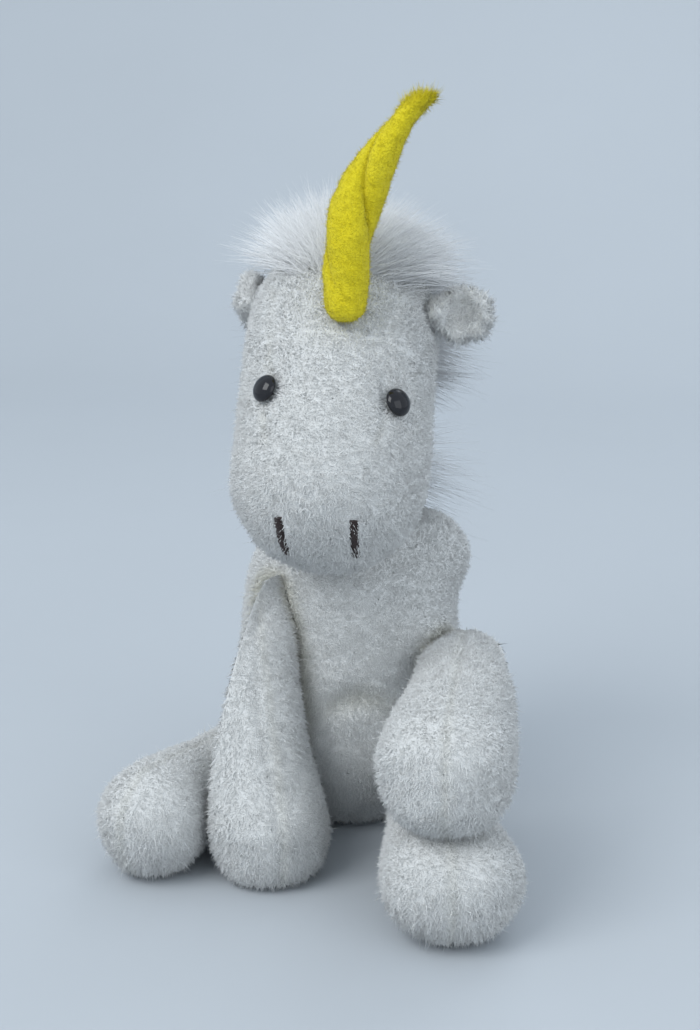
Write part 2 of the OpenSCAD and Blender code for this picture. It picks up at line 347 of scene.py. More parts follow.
def stuff(obj, seams, push, slack=0.0004):
    """Stuffs a closed skin: pressure pushes the cloth out between its held seams, up to a limit.
    The cloth is simulated at ten times its size, where the solver is steady."""
    mesh = obj.data
    co, out = points_of(mesh), normals_of(mesh)
    small = co - out * slack
    held = np.clip(1.6 - seams / 0.0009, 0, 1)
    big = mesh.copy()
    place(big, small * 10)
    bag = add_object(obj.name + "_bag", big)
    group = bag.vertex_groups.new(name="seams")
    for i in np.nonzero(held > 0.02)[0]:
        group.add([int(i)], float(held[i]), "REPLACE")
    cloth = bag.modifiers.new("stuffing", "CLOTH")
    cloth.settings.quality = 5
    cloth.settings.mass = 0.2
    cloth.settings.use_pressure = True
    cloth.settings.uniform_pressure_force = 7
    cloth.settings.vertex_group_mass = "seams"
    cloth.settings.tension_stiffness = 12
    cloth.settings.compression_stiffness = 12
    cloth.settings.shear_stiffness = 5
    cloth.settings.bending_stiffness = 0.4
    cloth.settings.effector_weights.gravity = 0
    cloth.collision_settings.use_collision = False
    cloth.point_cache.frame_start = 1
    cloth.point_cache.frame_end = 20
    for step in range(1, 21):
        bpy.context.scene.frame_set(step)
    full = with_modifiers(bag)
    move = points_of(full) / 10 - small
    bpy.context.scene.frame_set(1)
    bpy.data.objects.remove(bag)
    bpy.data.meshes.remove(full)
    size = np.linalg.norm(move, axis=1)
    move *= (np.minimum(size, push) / np.maximum(size, 1e-9))[:, None]
    place(mesh, relax(small + move, edges_of(mesh), 1, 0.35))


def refine(obj):
    """One subdivision, applied"""
    obj.modifiers.new("finer", "SUBSURF").levels = 1
    obj.modifiers["finer"].render_levels = 1
    new, old = with_modifiers(obj), obj.data
    obj.modifiers.clear()
    obj.data = new
    bpy.data.meshes.remove(old)
    new.name = obj.name
    new.shade_smooth()


def sink(mesh, distance, depth, width):
    """Sinks a groove into a mesh where the distance from a seam is small"""
    groove = depth * hill_of(distance, width)
    place(mesh, points_of(mesh) - normals_of(mesh) * groove[:, None])


def rumple(mesh, size, height, seed):
    """Gives cloth a slight unevenness from the filling behind it"""
    co = points_of(mesh)
    place(mesh, co + normals_of(mesh) * (height * uneven(co, size, seed))[:, None])


# ---- materials ----


def new_material(name):
    """An empty node material: itself, its tree, its Principled shader and its Object coordinates"""
    material = bpy.data.materials.new(name)
    material.use_nodes = True
    tree = material.node_tree
    return material, tree, tree.nodes["Principled BSDF"], wire(tree, "ShaderNodeTexCoord").outputs["Object"]


def group_tree(name, inputs, outputs):
    """An empty shader node group with named sockets"""
    tree = bpy.data.node_groups.new(name, "ShaderNodeTree")
    for label, kind, value in inputs:
        socket = tree.interface.new_socket(label, in_out="INPUT", socket_type="NodeSocket" + kind)
        if value is not None:
            socket.default_value = value
    for label, kind in outputs:
        tree.interface.new_socket(label, in_out="OUTPUT", socket_type="NodeSocket" + kind)
    return tree, tree.nodes.new("NodeGroupInput"), tree.nodes.new("NodeGroupOutput")


def wire(tree, kind, settings=None, **values):
    """Adds a node, with its settings and its inputs by name (spaces as underscores) or value"""
    node = tree.nodes.new(kind)
    for key, value in (settings or {}).items():
        setattr(node, key, value)
    for key, value in values.items():
        label = key.replace("_", " ").strip()
        if label.isdigit():
            socket = node.inputs[int(label)]
        else:
            socket = next(s for s in node.inputs if s.name == label and s.enabled)
        if isinstance(value, bpy.types.NodeSocket):
            tree.links.new(value, socket)
        else:
            socket.default_value = value
    return node


def out_of(node, name=None):
    """A node's first working output, or the one with a name"""
    return next(s for s in node.outputs if s.enabled and (name is None or s.name == name))


def calc(tree, operation, a, b=0.0):
    """The result of one sum on two values or sockets"""
    return wire(tree, "ShaderNodeMath", {"operation": operation}, **{"0": a, "1": b}).outputs[0]


def blend(tree, factor, a, b, mode="MIX"):
    """The result of mixing two colours or sockets"""
    a, b = (c if isinstance(c, bpy.types.NodeSocket) else (*c, 1) for c in (a, b))
    mix = wire(tree, "ShaderNodeMix", {"data_type": "RGBA", "blend_type": mode}, Factor=factor, A=a, B=b)
    return out_of(mix, "Result")


def grey(tree, value):
    """A value as a colour"""
    return wire(tree, "ShaderNodeCombineColor", Red=value, Green=value, Blue=value).outputs[0]


def tinted(colour, share):
    """A colour made darker or lighter by a share, no brighter than white"""
    return tuple(min(c * share, 1) for c in colour)


def dress(tree, shader, colour, roughness, hill=None):
    """Sets a Principled shader's colour, roughness and, where there is one, its relief"""
    tree.links.new(colour, shader.inputs["Base Color"])
    if hill is not None:
        tree.links.new(hill.outputs[0], shader.inputs["Normal"])
    if isinstance(roughness, bpy.types.NodeSocket):
        tree.links.new(roughness, shader.inputs["Roughness"])
    else:
        shader.inputs["Roughness"].default_value = roughness


def mottle_group():
    """Fine fibres matted together: a soft colour change and a height, both from Object coordinates"""
    name = "matted fibres"
    if name in bpy.data.node_groups:
        return bpy.data.node_groups[name]
    tree, start, end = group_tree(
        name,
        [("Vector", "Vector", None), ("Base", "Color", (1, 1, 1, 1)), ("Shade", "Color", (0.7, 0.7, 0.7, 1)),
         ("Fibre Size", "Float", 1500.0), ("Patch Size", "Float", 120.0), ("Contrast", "Float", 0.5)],
        [("Color", "Color"), ("Height", "Float")])
    take = start.outputs
    fine = wire(tree, "ShaderNodeTexNoise", Vector=take["Vector"], Scale=take["Fibre Size"],
                Detail=5.0, Roughness=0.65).outputs[0]
    patch = wire(tree, "ShaderNodeTexNoise", Vector=take["Vector"], Scale=take["Patch Size"],
                 Detail=3.0, Roughness=0.6).outputs[0]
    cells = wire(tree, "ShaderNodeTexVoronoi", {"feature": "F1"}, Vector=take["Vector"],
                 Scale=take["Fibre Size"])
    spread = wire(tree, "ShaderNodeMapRange", Value=calc(tree, "MULTIPLY", fine, patch),
                  **{"1": 0.12, "2": 0.42, "3": 1.0, "4": 0.0})
    amount = calc(tree, "MULTIPLY", spread.outputs[0], take["Contrast"])
    tree.links.new(blend(tree, amount, take["Base"], take["Shade"]), end.inputs["Color"])
    tree.links.new(calc(tree, "SUBTRACT", fine, cells.outputs["Distance"]), end.inputs["Height"])
    return tree


def weave_group():
    """Crossed threads: a height and a mask from Object coordinates"""
    name = "crossed threads"
    if name in bpy.data.node_groups:
        return bpy.data.node_groups[name]
    tree, start, end = group_tree(
        name, [("Vector", "Vector", None), ("Threads", "Float", 900.0)],
        [("Height", "Float"), ("Mask", "Float")])
    waves = [wire(tree, "ShaderNodeTexWave", {"bands_direction": way}, Vector=start.outputs["Vector"],
                  Scale=start.outputs["Threads"], Distortion=1.5, Detail=1.0).outputs["Fac"]
             for way in ("DIAGONAL", "Z")]
    tree.links.new(calc(tree, "MAXIMUM", *waves), end.inputs["Height"])
    tree.links.new(calc(tree, "GREATER_THAN", *waves), end.inputs["Mask"])
    return tree


def matted_material(name, base, shade, fibre_size, patch_size, contrast, bump, sheen, along, roughness=0.92,
                    crease_shade=None):
    """A fibrous material. The along share is painted shade at the fibres' roots: fibres darken towards their
    roots, and bare cloth, which has no along attribute, takes the full share. The crease colour is painted
    shade, mixed in where the crease attribute says.
    """
    if name in bpy.data.materials:
        return bpy.data.materials[name]
    material, tree, shader, where = new_material(name)
    group = wire(tree, "ShaderNodeGroup", {"node_tree": mottle_group()}, Vector=where, Base=(*base, 1),
                 Shade=(*shade, 1), Fibre_Size=fibre_size, Patch_Size=patch_size, Contrast=contrast)
    colour = group.outputs["Color"]
    # painted shade: a warm darker colour mixed in where the crease attribute marks seams, folds and parts
    # pressed together
    if crease_shade is not None:
        crease = wire(tree, "ShaderNodeAttribute", {"attribute_name": "crease"})
        colour = blend(tree, crease.outputs["Fac"], colour, crease_shade)
    # painted shade: fibres darker towards their roots, bare cloth darker by the full along share
    height = wire(tree, "ShaderNodeAttribute", {"attribute_name": "along"})
    dark = wire(tree, "ShaderNodeMapRange", Value=height.outputs["Fac"],
                **{"1": 0.0, "2": 0.7, "3": along, "4": 1.0})
    colour = blend(tree, 1.0, colour, grey(tree, dark.outputs[0]), "MULTIPLY")
    hill = wire(tree, "ShaderNodeBump", Strength=bump, Distance=0.0004, Height=group.outputs["Height"])
    dress(tree, shader, colour, roughness, hill)
    shader.inputs["Sheen Weight"].default_value = sheen
    shader.inputs["Sheen Roughness"].default_value = 0.5
    shader.inputs["Specular IOR Level"].default_value = 0.25
    return material


def cover_material():
    """White plush fabric, with a warm painted shade in its creases and painted shade at the roots of its pile
    """
    base = tuple(bpy.context.scene.plush_colours.cover)
    # painted shade: along=0.8 darkens the pile's roots and the bare cloth, and (0.66, 0.62, 0.45) is the warm
    # painted shade of the creases
    return matted_material(
        "white plush", base, tinted(base, 0.9), fibre_size=2600.0, patch_size=160.0, contrast=0.6, bump=0.5,
        sheen=0.35, along=0.8, crease_shade=(0.66, 0.62, 0.45))


def hair_material():
    """Long fine hair"""
    base = tuple(bpy.context.scene.plush_colours.hair)
    # painted shade: along=0.84 darkens the hair towards its roots
    return matted_material(
        "long hair", base, tinted(base, 0.86), fibre_size=900.0, patch_size=140.0, contrast=0.7, bump=0.15,
        sheen=0.25, along=0.84, roughness=0.5)


def felt_material():
    """Yellow felt with paler worn patches"""
    # painted shade: along=0.92 darkens the fuzz towards its roots and the bare felt under it
    return matted_material(
        "yellow felt", tuple(bpy.context.scene.plush_colours.horn), (0.80, 0.68, 0.03), fibre_size=2200.0,
        patch_size=190.0, contrast=0.85, bump=0.7, sheen=0.06, along=0.92)


def thread_material(name, colour, shine):
    """Twisted thread with a satin shine, its ply ridges painted lighter and the grooves between them painted
    darker
    """
    if name in bpy.data.materials:
        return bpy.data.materials[name]
    material, tree, shader, where = new_material(name)
    ply = wire(tree, "ShaderNodeTexWave", {"bands_direction": "DIAGONAL"}, Vector=where, Scale=1400.0,
               Distortion=2.0, Detail=2.0).outputs["Fac"]
    hill = wire(tree, "ShaderNodeBump", Strength=0.5, Distance=0.0001, Height=ply)
    # painted highlight and shade: the colour runs from 0.6 to 1.5 times the thread's colour with the same ply
    # wave as the bump, lighter on the ridges
    dress(tree, shader, blend(tree, ply, tinted(colour, 0.6), tinted(colour, 1.5)), shine, hill)
    return material


def eye_material():
    """Glossy black plastic with the faintest handling marks"""
    name = "eye plastic"
    if name in bpy.data.materials:
        return bpy.data.materials[name]
    material, tree, shader, where = new_material(name)
    marks = wire(tree, "ShaderNodeTexNoise", Vector=where, Scale=700.0, Detail=4.0).outputs[0]
    rough = wire(tree, "ShaderNodeMapRange", Value=marks, **{"1": 0.35, "2": 0.75, "3": 0.07, "4": 0.14})
    colour = tuple(bpy.context.scene.plush_colours.eye)
    dress(tree, shader, blend(tree, marks, colour, tinted(colour, 1.8)), rough.outputs[0])
    shader.inputs["Specular IOR Level"].default_value = 0.35
    shader.inputs["Coat Weight"].default_value = 0.15
    shader.inputs["Coat Roughness"].default_value = 0.04
    return material


def moulded_material(name, colour, roughness):
    """Moulded plastic with a faint grain"""
    if name in bpy.data.materials:
        return bpy.data.materials[name]
    material, tree, shader, where = new_material(name)
    grain = wire(tree, "ShaderNodeTexNoise", Vector=where, Scale=1800.0, Detail=3.0).outputs[0]
    hill = wire(tree, "ShaderNodeBump", Strength=0.15, Distance=0.0001, Height=grain)
    dress(tree, shader, blend(tree, grain, colour, tinted(colour, 0.92)), roughness, hill)
    return material


def pellet_material():
    """A mass of small plastic pellets"""
    name = "pellets"
    if name in bpy.data.materials:
        return bpy.data.materials[name]
    material, tree, shader, where = new_material(name)
    grains = wire(tree, "ShaderNodeTexVoronoi", {"feature": "F1"}, Vector=where, Scale=450.0)
    grains = grains.outputs["Distance"]
    # painted shade and highlight: each pellet is lighter at its middle and darker towards its edge, where
    # neighbouring pellets meet
    tone = wire(tree, "ShaderNodeMapRange", Value=grains, **{"1": 0.2, "2": 0.8, "3": 0.84, "4": 0.35})
    hill = wire(tree, "ShaderNodeBump", {"invert": True}, Strength=0.9, Distance=0.001, Height=grains)
    dress(tree, shader, grey(tree, tone.outputs[0]), 0.4, hill)
    return material


def pouch_material():
    """Thin woven lining cloth"""
    name = "pouch cloth"
    if name in bpy.data.materials:
        return bpy.data.materials[name]
    material, tree, shader, where = new_material(name)
    weave = wire(tree, "ShaderNodeGroup", {"node_tree": weave_group()}, Vector=where, Threads=800.0)
    hill = wire(tree, "ShaderNodeBump", Strength=0.6, Distance=0.0002, Height=weave.outputs["Height"])
    tone = blend(tree, weave.outputs["Mask"], (0.80, 0.80, 0.78), (0.70, 0.70, 0.68))
    dress(tree, shader, tone, 0.85, hill)
    return material


def paint(obj, material):
    """Gives an object one material"""
    obj.data.materials.clear()
    obj.data.materials.append(material)


# ---- fibres on cloth ----

FIBRE_INPUTS = (
    ("Per Square Metre", "Float", 1e6), ("Length", "Float", 0.002), ("Length Spread", "Float", 0.3),
    ("Thickness", "Float", 0.0002), ("Clump Scale", "Float", 400.0), ("Clump", "Float", 0.8),
    ("Scatter", "Float", 0.4), ("Curl", "Float", 0.5), ("Wave", "Float", 0.0), ("Tip", "Float", 0.0),
    ("Crispness", "Float", 0.5), ("Segments", "Int", 2), ("Seed", "Int", 1), ("Material", "Material", None),
)


def fibre_tree():
    """A Geometry Nodes tree that stands fibres on cloth. The cloth's points say how many (cover),
    how long (reach), and which way the fibres lean and bend (lean, comb)."""
    if "fibres on cloth" in bpy.data.node_groups:
        return bpy.data.node_groups["fibres on cloth"]
    tree = bpy.data.node_groups.new("fibres on cloth", "GeometryNodeTree")
    tree.interface.new_socket("Cloth", in_out="INPUT", socket_type="NodeSocketGeometry")
    for label, kind, value in FIBRE_INPUTS:
        socket = tree.interface.new_socket(label, in_out="INPUT", socket_type="NodeSocket" + kind)
        if value is not None:
            socket.default_value = value
    tree.interface.new_socket("Fibres", in_out="OUTPUT", socket_type="NodeSocketGeometry")
    start, end = tree.nodes.new("NodeGroupInput"), tree.nodes.new("NodeGroupOutput")
    take = {s.name: s for s in start.outputs if s.name}

    def vector(operation, a, b=(0, 0, 0)):
        return wire(tree, "ShaderNodeVectorMath", {"operation": operation}, **{"0": a, "1": b}).outputs[0]

    def scaled(a, scale):
        return wire(tree, "ShaderNodeVectorMath", {"operation": "SCALE"}, Scale=scale, **{"0": a}).outputs[0]

    def kept(name, kind="FLOAT_VECTOR"):
        node = wire(tree, "GeometryNodeInputNamedAttribute", {"data_type": kind}, Name=name)
        return out_of(node, "Attribute")

    def chance(seed, kind="FLOAT", low=None, high=None):
        node = wire(tree, "FunctionNodeRandomValue", {"data_type": kind},
                    Seed=calc(tree, "ADD", take["Seed"], float(seed)))
        if kind == "FLOAT_VECTOR":
            node.inputs[0].default_value, node.inputs[1].default_value = (-1, -1, -1), (1, 1, 1)
        else:
            node.inputs[2].default_value, node.inputs[3].default_value = low, high
        return out_of(node)

    def noted(geometry, name, value, kind="FLOAT_VECTOR"):
        return wire(tree, "GeometryNodeStoreNamedAttribute", {"data_type": kind, "domain": "POINT"},
                    Geometry=geometry, Name=name, Value=value).outputs[0]

    density = calc(tree, "MULTIPLY", take["Per Square Metre"], kept("cover", "FLOAT"))
    spread = wire(tree, "GeometryNodeDistributePointsOnFaces", {"distribute_method": "RANDOM"},
                  Mesh=take["Cloth"], Seed=take["Seed"], Density=density)
    spot = out_of(wire(tree, "GeometryNodeInputPosition"))

    def wander(share, shift):
        moved = vector("ADD", spot, (shift, shift * 0.7, shift * 1.3))
        cloud = wire(tree, "ShaderNodeTexNoise", Vector=moved,
                     Scale=calc(tree, "MULTIPLY", take["Clump Scale"], share), Detail=1.0)
        return scaled(vector("SUBTRACT", out_of(cloud, "Color"), (0.5, 0.5, 0.5)), 3.0)

    lean = vector("ADD", out_of(spread, "Normal"), kept("lean"))
    lean = vector("ADD", lean, scaled(wander(1.0, 0.0), take["Clump"]))
    lean = vector("ADD", lean, scaled(chance(1, "FLOAT_VECTOR"), take["Scatter"]))
    way = vector("NORMALIZE", lean)
    bend = vector("ADD", kept("comb"), scaled(wander(1.7, 0.31), take["Curl"]))
    bend = vector("ADD", bend, scaled(chance(2, "FLOAT_VECTOR"), calc(tree, "MULTIPLY", take["Curl"], 0.5)))
    stretch = calc(tree, "MULTIPLY", take["Length Spread"], chance(3, low=-1.0, high=1.0))
    length = calc(tree, "MULTIPLY", take["Length"], kept("reach", "FLOAT"))
    length = calc(tree, "MULTIPLY", length, calc(tree, "ADD", 1.0, stretch))
    points = noted(out_of(spread, "Points"), "bend", scaled(bend, length))
    points = noted(points, "nap", out_of(spread, "Normal"))
    spin = wire(tree, "ShaderNodeCombineXYZ", Z=chance(4, low=0.0, high=6.283))
    spun = wire(tree, "FunctionNodeEulerToRotation", Euler=spin.outputs[0])
    aim = wire(tree, "FunctionNodeAlignRotationToVector", {"axis": "Z"}, Vector=way, Rotation=spun.outputs[0])
    size = wire(tree, "ShaderNodeCombineXYZ", X=take["Thickness"], Y=take["Thickness"], Z=length)

    cone = wire(tree, "GeometryNodeMeshCone", {"fill_type": "NGON"}, Vertices=3,
                Side_Segments=take["Segments"], Radius_Top=take["Tip"], Radius_Bottom=1.0, Depth=1.0)
    height = wire(tree, "ShaderNodeSeparateXYZ", Vector=spot).outputs["Z"]
    hair = noted(cone.outputs["Mesh"], "along", height, "FLOAT")
    many = wire(tree, "GeometryNodeInstanceOnPoints", Points=points, Instance=hair,
                Rotation=aim.outputs[0], Scale=size.outputs[0])
    real = wire(tree, "GeometryNodeRealizeInstances", Geometry=many.outputs[0])
    along = kept("along", "FLOAT")
    curve = scaled(kept("bend"), calc(tree, "POWER", along, 1.8))
    ripple = scaled(wander(2.3, 0.77), calc(tree, "MULTIPLY", take["Wave"], along))
    flow = wire(tree, "GeometryNodeSetPosition", Geometry=real.outputs[0],
                Offset=vector("ADD", curve, ripple))
    flow = wire(tree, "GeometryNodeSetShadeSmooth", Geometry=flow.outputs[0]).outputs[0]
    own = scaled(out_of(wire(tree, "GeometryNodeInputNormal"), "Normal"), take["Crispness"])
    facing = vector("NORMALIZE", vector("ADD", kept("nap"), own))
    flow = wire(tree, "GeometryNodeSetMeshNormal", {"mode": "FREE", "domain": "POINT"}, Mesh=flow,
                Custom_Normal=facing).outputs[0]
    for name in ("bend", "lean", "comb", "cover", "reach", "nap"):
        flow = wire(tree, "GeometryNodeRemoveAttribute", Geometry=flow, Name=name).outputs[0]
    finish = wire(tree, "GeometryNodeSetMaterial", Geometry=flow, Material=take["Material"])
    tree.links.new(finish.outputs[0], end.inputs["Fibres"])
    return tree


def run_tree(tree, name, bed_mesh, material, values):
    """Runs a Geometry Nodes tree on a mesh and returns what it makes as a plain object"""
    bed = add_object(name + "_bed", bed_mesh)
    nodes = bed.modifiers.new("making", "NODES")
    nodes.node_group = tree
    values["Material"] = material
    for item in tree.interface.items_tree:
        if item.in_out == "INPUT" and item.name in values:
            nodes[item.identifier] = values[item.name]
    made = with_modifiers(bed)
    bpy.data.objects.remove(bed)
    if len(made.vertices) == 0:
        raise RuntimeError(name + ": the tree made nothing")
    made.name = name
    obj = add_object(name, made)
    if not made.materials:
        made.materials.append(material)
    return obj


def grow(name, cloth, material, slot, floor=None, **values):
    """Grows fibres on a cloth mesh and returns them as a plain object, none of it below the floor"""
    obj = run_tree(fibre_tree(), name, cloth, material, values)
    if floor is not None:
        co = points_of(obj.data)
        co[:, 2] = np.maximum(co[:, 2], floor)
        place(obj.data, co)
    return obj


def still(mesh):
    """Gives a cloth mesh the values that its fibres read, all plain"""
    count = len(mesh.vertices)
    for name in ("cover", "reach"):
        store(mesh, name, np.ones(count))
    for name in ("lean", "comb"):
        store(mesh, name, np.zeros((count, 3)))
    # no painted crease shade unless a step stores some
    store(mesh, "crease", np.zeros(count))


def rested(co):
    """The share of pile kept at points: less of it where cloth lies on the floor"""
    return np.where(co[:, 2] < RESTING_HEIGHT, PRESSED_PILE, 1.0)


def pile(obj, name, seed, keep=None, share=1.0, length=1.0, floor=None):
    """Short pile on a finished skin"""
    sizes = bpy.context.scene.plush_sizes
    cloth = obj.data.copy()
    if keep is not None:
        keep_points(cloth, keep)
    return grow(
        name, cloth, cover_material(), "plush_cover", floor=floor,
        **{"Per Square Metre": sizes.tufts_per_cm2 * 1e4 * share, "Length": sizes.pile_length * length,
           "Length Spread": 0.35, "Thickness": sizes.pile_thickness, "Clump Scale": 420.0, "Clump": 1.05,
           "Scatter": 0.7, "Curl": 0.0, "Wave": 0.0, "Segments": 1, "Tip": 0.0, "Seed": seed})


def add_locks(obj, name, seed, share=1.0, floor=None):
    """Sparse longer locks of matted pile, which give the cover its ragged outline"""
    sizes = bpy.context.scene.plush_sizes
    return grow(
        name, obj.data.copy(), cover_material(), "plush_cover", floor=floor,
        **{"Per Square Metre": 2.4e5 * share, "Length": sizes.pile_length * 1.3, "Length Spread": 0.25,
           "Thickness": sizes.pile_thickness * 1.25, "Clump Scale": 330.0, "Clump": 1.6, "Scatter": 1.0,
           "Curl": 1.0, "Wave": 0.0002, "Segments": 2, "Tip": 0.0, "Seed": seed + 500})


def clear_of(co, mesh):
    """Distance of points outside a skin, below zero inside it, up to 20 mm"""
    tree = skin_tree(mesh)
    clear = np.full(len(co), 0.02)
    for i, p in enumerate(co):
        near, normal, _, gap = tree.find_nearest(Vector(p), 0.02)
        if near is not None:
            clear[i] = math.copysign(gap, (Vector(p) - near).dot(normal))
    return clear


def limb_of(kind, side):
    """A foreleg or hindleg, read from the frame"""
    joint = side + ("_shoulder_swing" if kind == "foreleg" else "_hip_splay")
    return Limb(f"{side}_{kind}_cover", JOINTS[joint])


def bowed_head(nod, turn):
    """The head as a tapered round form, moved by shares of the lower limits of its nod and turn"""
    head = Limb("head_cover", CROWN)
    t, out = face_place(points_of(frame["nodes"]["head_cover"].data))
    size = np.linalg.norm(out, axis=1)
    head.way, head.reach = FACE, FACE_LENGTH
    head.root_r = float(size[t < 0.012].max())
    head.tip_r = float(size[t > FACE_LENGTH - 0.001].max()) + 0.0012
    for name, share in (("head_nod", nod), ("neck_turn", turn)):
        joint = next(joint for joint in frame["joints"] if joint["name"] == name)
        angle = math.radians(joint["range_deg"][0] * share)
        spin = np.array(Matrix.Rotation(angle, 3, Vector(joint["axis"])))
        head.root = JOINTS[name] + spin @ (head.root - JOINTS[name])
        head.way = spin @ head.way
    return head


LIMBS = {(kind, side): limb_of(kind, side) for kind in ("foreleg", "hindleg") for side in SIDES}


class UNICORN_OT_torso(bpy.types.Operator):
    """Sews and stuffs the torso, with hollows where the legs sit against it"""

    bl_idname = "unicorn.torso"
    bl_label = "Torso"

    def execute(self, context):
        sizes = context.scene.plush_sizes
        radii = (0.0305, 0.0270)
        balls = [((0, 0, 0.024 + t * 0.033), radii[0] + t * (radii[1] - radii[0]))
                 for t in (0, 0.33, 0.67, 1)]
        balls += [((-0.0105, -0.0165, 0.060), 0.0100), ((0.0165, -0.0120, 0.053), 0.0115),
                  ((0.0190, 0.002, 0.068), 0.0125)]
        torso = cloth_form("torso_plush", ["torso_cover", "torso_stuffing"], sizes.cloth_cell, balls, 8)
        mesh = torso.data
        seams = self.seams(points_of(mesh))
        stuff(torso, seams, sizes.stuffing_push)
        refine(torso)
        mesh = torso.data
        co = points_of(mesh)
        seams = self.seams(co)
        sink(mesh, seams, sizes.seam_depth, 0.0009)
        crease = self.crease(points_of(mesh))
        place(mesh, points_of(mesh) - normals_of(mesh) * (0.0016 * crease)[:, None])
        rumple(mesh, 0.009, 0.0005, 3)
        co = points_of(mesh)
        for form in LIMBS.values():
            co = make_room(co, form, 0.0004)
        for nod, turn in ((0, 0), (1, 0), (0, 1), (1, 1)):
            co = make_room(co, bowed_head(nod, turn), 0.0015 * nod)
        co = relax(co, edges_of(mesh), 1, 0.4)
        place(mesh, set_down(co))
        still(mesh)
        co = points_of(mesh)
        near = np.min([form.beyond(co)[0] for form in LIMBS.values()], axis=0)
        # painted shade: crease marks the seams, the chest's fold and where the legs press on the torso, for
        # the material's warm darker colour
        store(mesh, "crease", np.clip(0.3 * hill_of(self.seams(co), 0.0012) + 0.25 * self.crease(co)
                                      + 0.5 * np.exp(-(np.clip(near, 0, None) / 0.0024) ** 2), 0, 1))
        neck = np.linalg.norm(co - JOINTS["neck_turn"], axis=1) < 0.0152
        store(mesh, "reach", 1 + 0.9 * np.exp(-(np.clip(near - 0.0008, 0, None) / 0.0016) ** 2))
        density = np.where(neck, 0.3, np.where(near < 0.0009, 0.65, 1.0))
        store(mesh, "cover", density * rested(co))
        store(mesh, "comb", np.tile((0, 0, -0.15), (len(co), 1)))
        paint(torso, cover_material())
        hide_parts("torso_cover", "torso_stuffing")
        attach(torso, "torso")
        front = points_of(mesh)[:, 1] < 0.004
        for name, keep, seed in (("torso_pile_front", front, 11), ("torso_pile_back", ~front, 12)):
            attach(pile(torso, name, seed, keep=keep, floor=FIBRE_FLOOR), "torso")
        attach(add_locks(torso, "torso_locks", 13, 0.6, floor=FIBRE_FLOOR), "torso")
        return {"FINISHED"}

    def seams(self, co):
        """Distance from the torso's seams: one at each side, one up the back"""
        sides = np.abs(co[:, 1] - 0.006 - 0.1 * (co[:, 2] - 0.03)) + np.where(np.abs(co[:, 0]) < 0.012, 1, 0)
        back = np.abs(co[:, 0]) + np.where(co[:, 1] < 0.01, 1, 0)
        return np.minimum(sides, back)

    def crease(self, co):
        """1 in the fold where the chest sags over the belly, fading towards the sides"""
        around = smooth_step(-0.004, -0.018, co[:, 1])
        line = 0.0345 + 0.004 * np.sin(co[:, 0] * 150 + 0.6)
        return around * np.exp(-((co[:, 2] - line) / 0.0034) ** 2) * (0.65 + 0.35 * np.sin(co[:, 0] * 260))


class UNICORN_OT_neck(bpy.types.Operator):
    """Sews and stuffs the neck, on which the head turns and nods"""

    bl_idname = "unicorn.neck"
    bl_label = "Neck"

    def execute(self, context):
        sizes = context.scene.plush_sizes
        neck = cloth_form("neck_plush", ["neck_cover", "neck_stuffing"], sizes.cloth_cell)
        ring = np.abs(points_of(neck.data)[:, 2] - JOINTS["neck_turn"][2])
        stuff(neck, ring, 0.0009)
        refine(neck)
        rumple(neck.data, 0.006, 0.0003, 5)
        still(neck.data)
        paint(neck, cover_material())
        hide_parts("neck_cover", "neck_stuffing")
        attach(neck, "neck")
        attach(pile(neck, "neck_pile", 21, share=0.6, length=0.8), "neck")
        return {"FINISHED"}


def face_place(co):
    """Where points lie on the head: how far along the face from the crown, and the way out of it"""
    t = np.clip((co - CROWN) @ FACE, 0, FACE_LENGTH)
    return t, co - CROWN - t[:, None] * FACE


def fill_out(co):
    """The stuffing's effect on the head: the muzzle widens and its chin drops a little"""
    co = np.atleast_2d(co)
    t, _ = face_place(co)
    muzzle = smooth_step(0.010, 0.036, t)
    wide = np.array((1.0, 0, 0)) * (co[:, 0] * (0.025 + 0.035 * muzzle))[:, None]
    chin = smooth_step(0.0, 0.022, (co - CROWN) @ FACE - FACE_LENGTH + 0.010) * 0.0014
    return co + wide + chin[:, None] * np.array((0, 0.15, -1.0))


def over_the_crown(co):
    """Angle of points over the head in its side view, in degrees: 0 forwards, 90 up, 180 back"""
    return np.degrees(np.arctan2(co[:, 2] - CROWN[2], CROWN[1] - co[:, 1])) % 360


def eye_spot(side):
    """Middle of an eye's rim, the way it faces and its radius"""
    mesh = merged_copy(side + "_eye")
    co = points_of(mesh)
    bpy.data.meshes.remove(mesh)
    out = co.mean(0) - CROWN
    out -= (out @ FACE) * FACE
    values, vectors = np.linalg.eigh(np.cov((co - co.mean(0)).T))
    odd = 0 if values[1] - values[0] > values[2] - values[1] else 2
    way = vectors[:, odd] * np.sign(vectors[:, odd] @ out)
    along = (co - co.mean(0)) @ way
    aside = np.linalg.norm(co - co.mean(0) - along[:, None] * way, axis=1)
    rim = along[np.argmax(aside)]
    return fill_out(co.mean(0) + way * rim)[0], way, float(aside.max())


HEAD_SEAM = np.array(((-0.0158, -0.0240, 0.1405), (-0.0155, -0.0300, 0.1345), (-0.0147, -0.0347, 0.1286),
                      (-0.0136, -0.0395, 0.1228), (-0.0143, -0.0452, 0.1140), (-0.0130, -0.0500, 0.1092)))
MIRROR = np.array((-1, 1, 1))


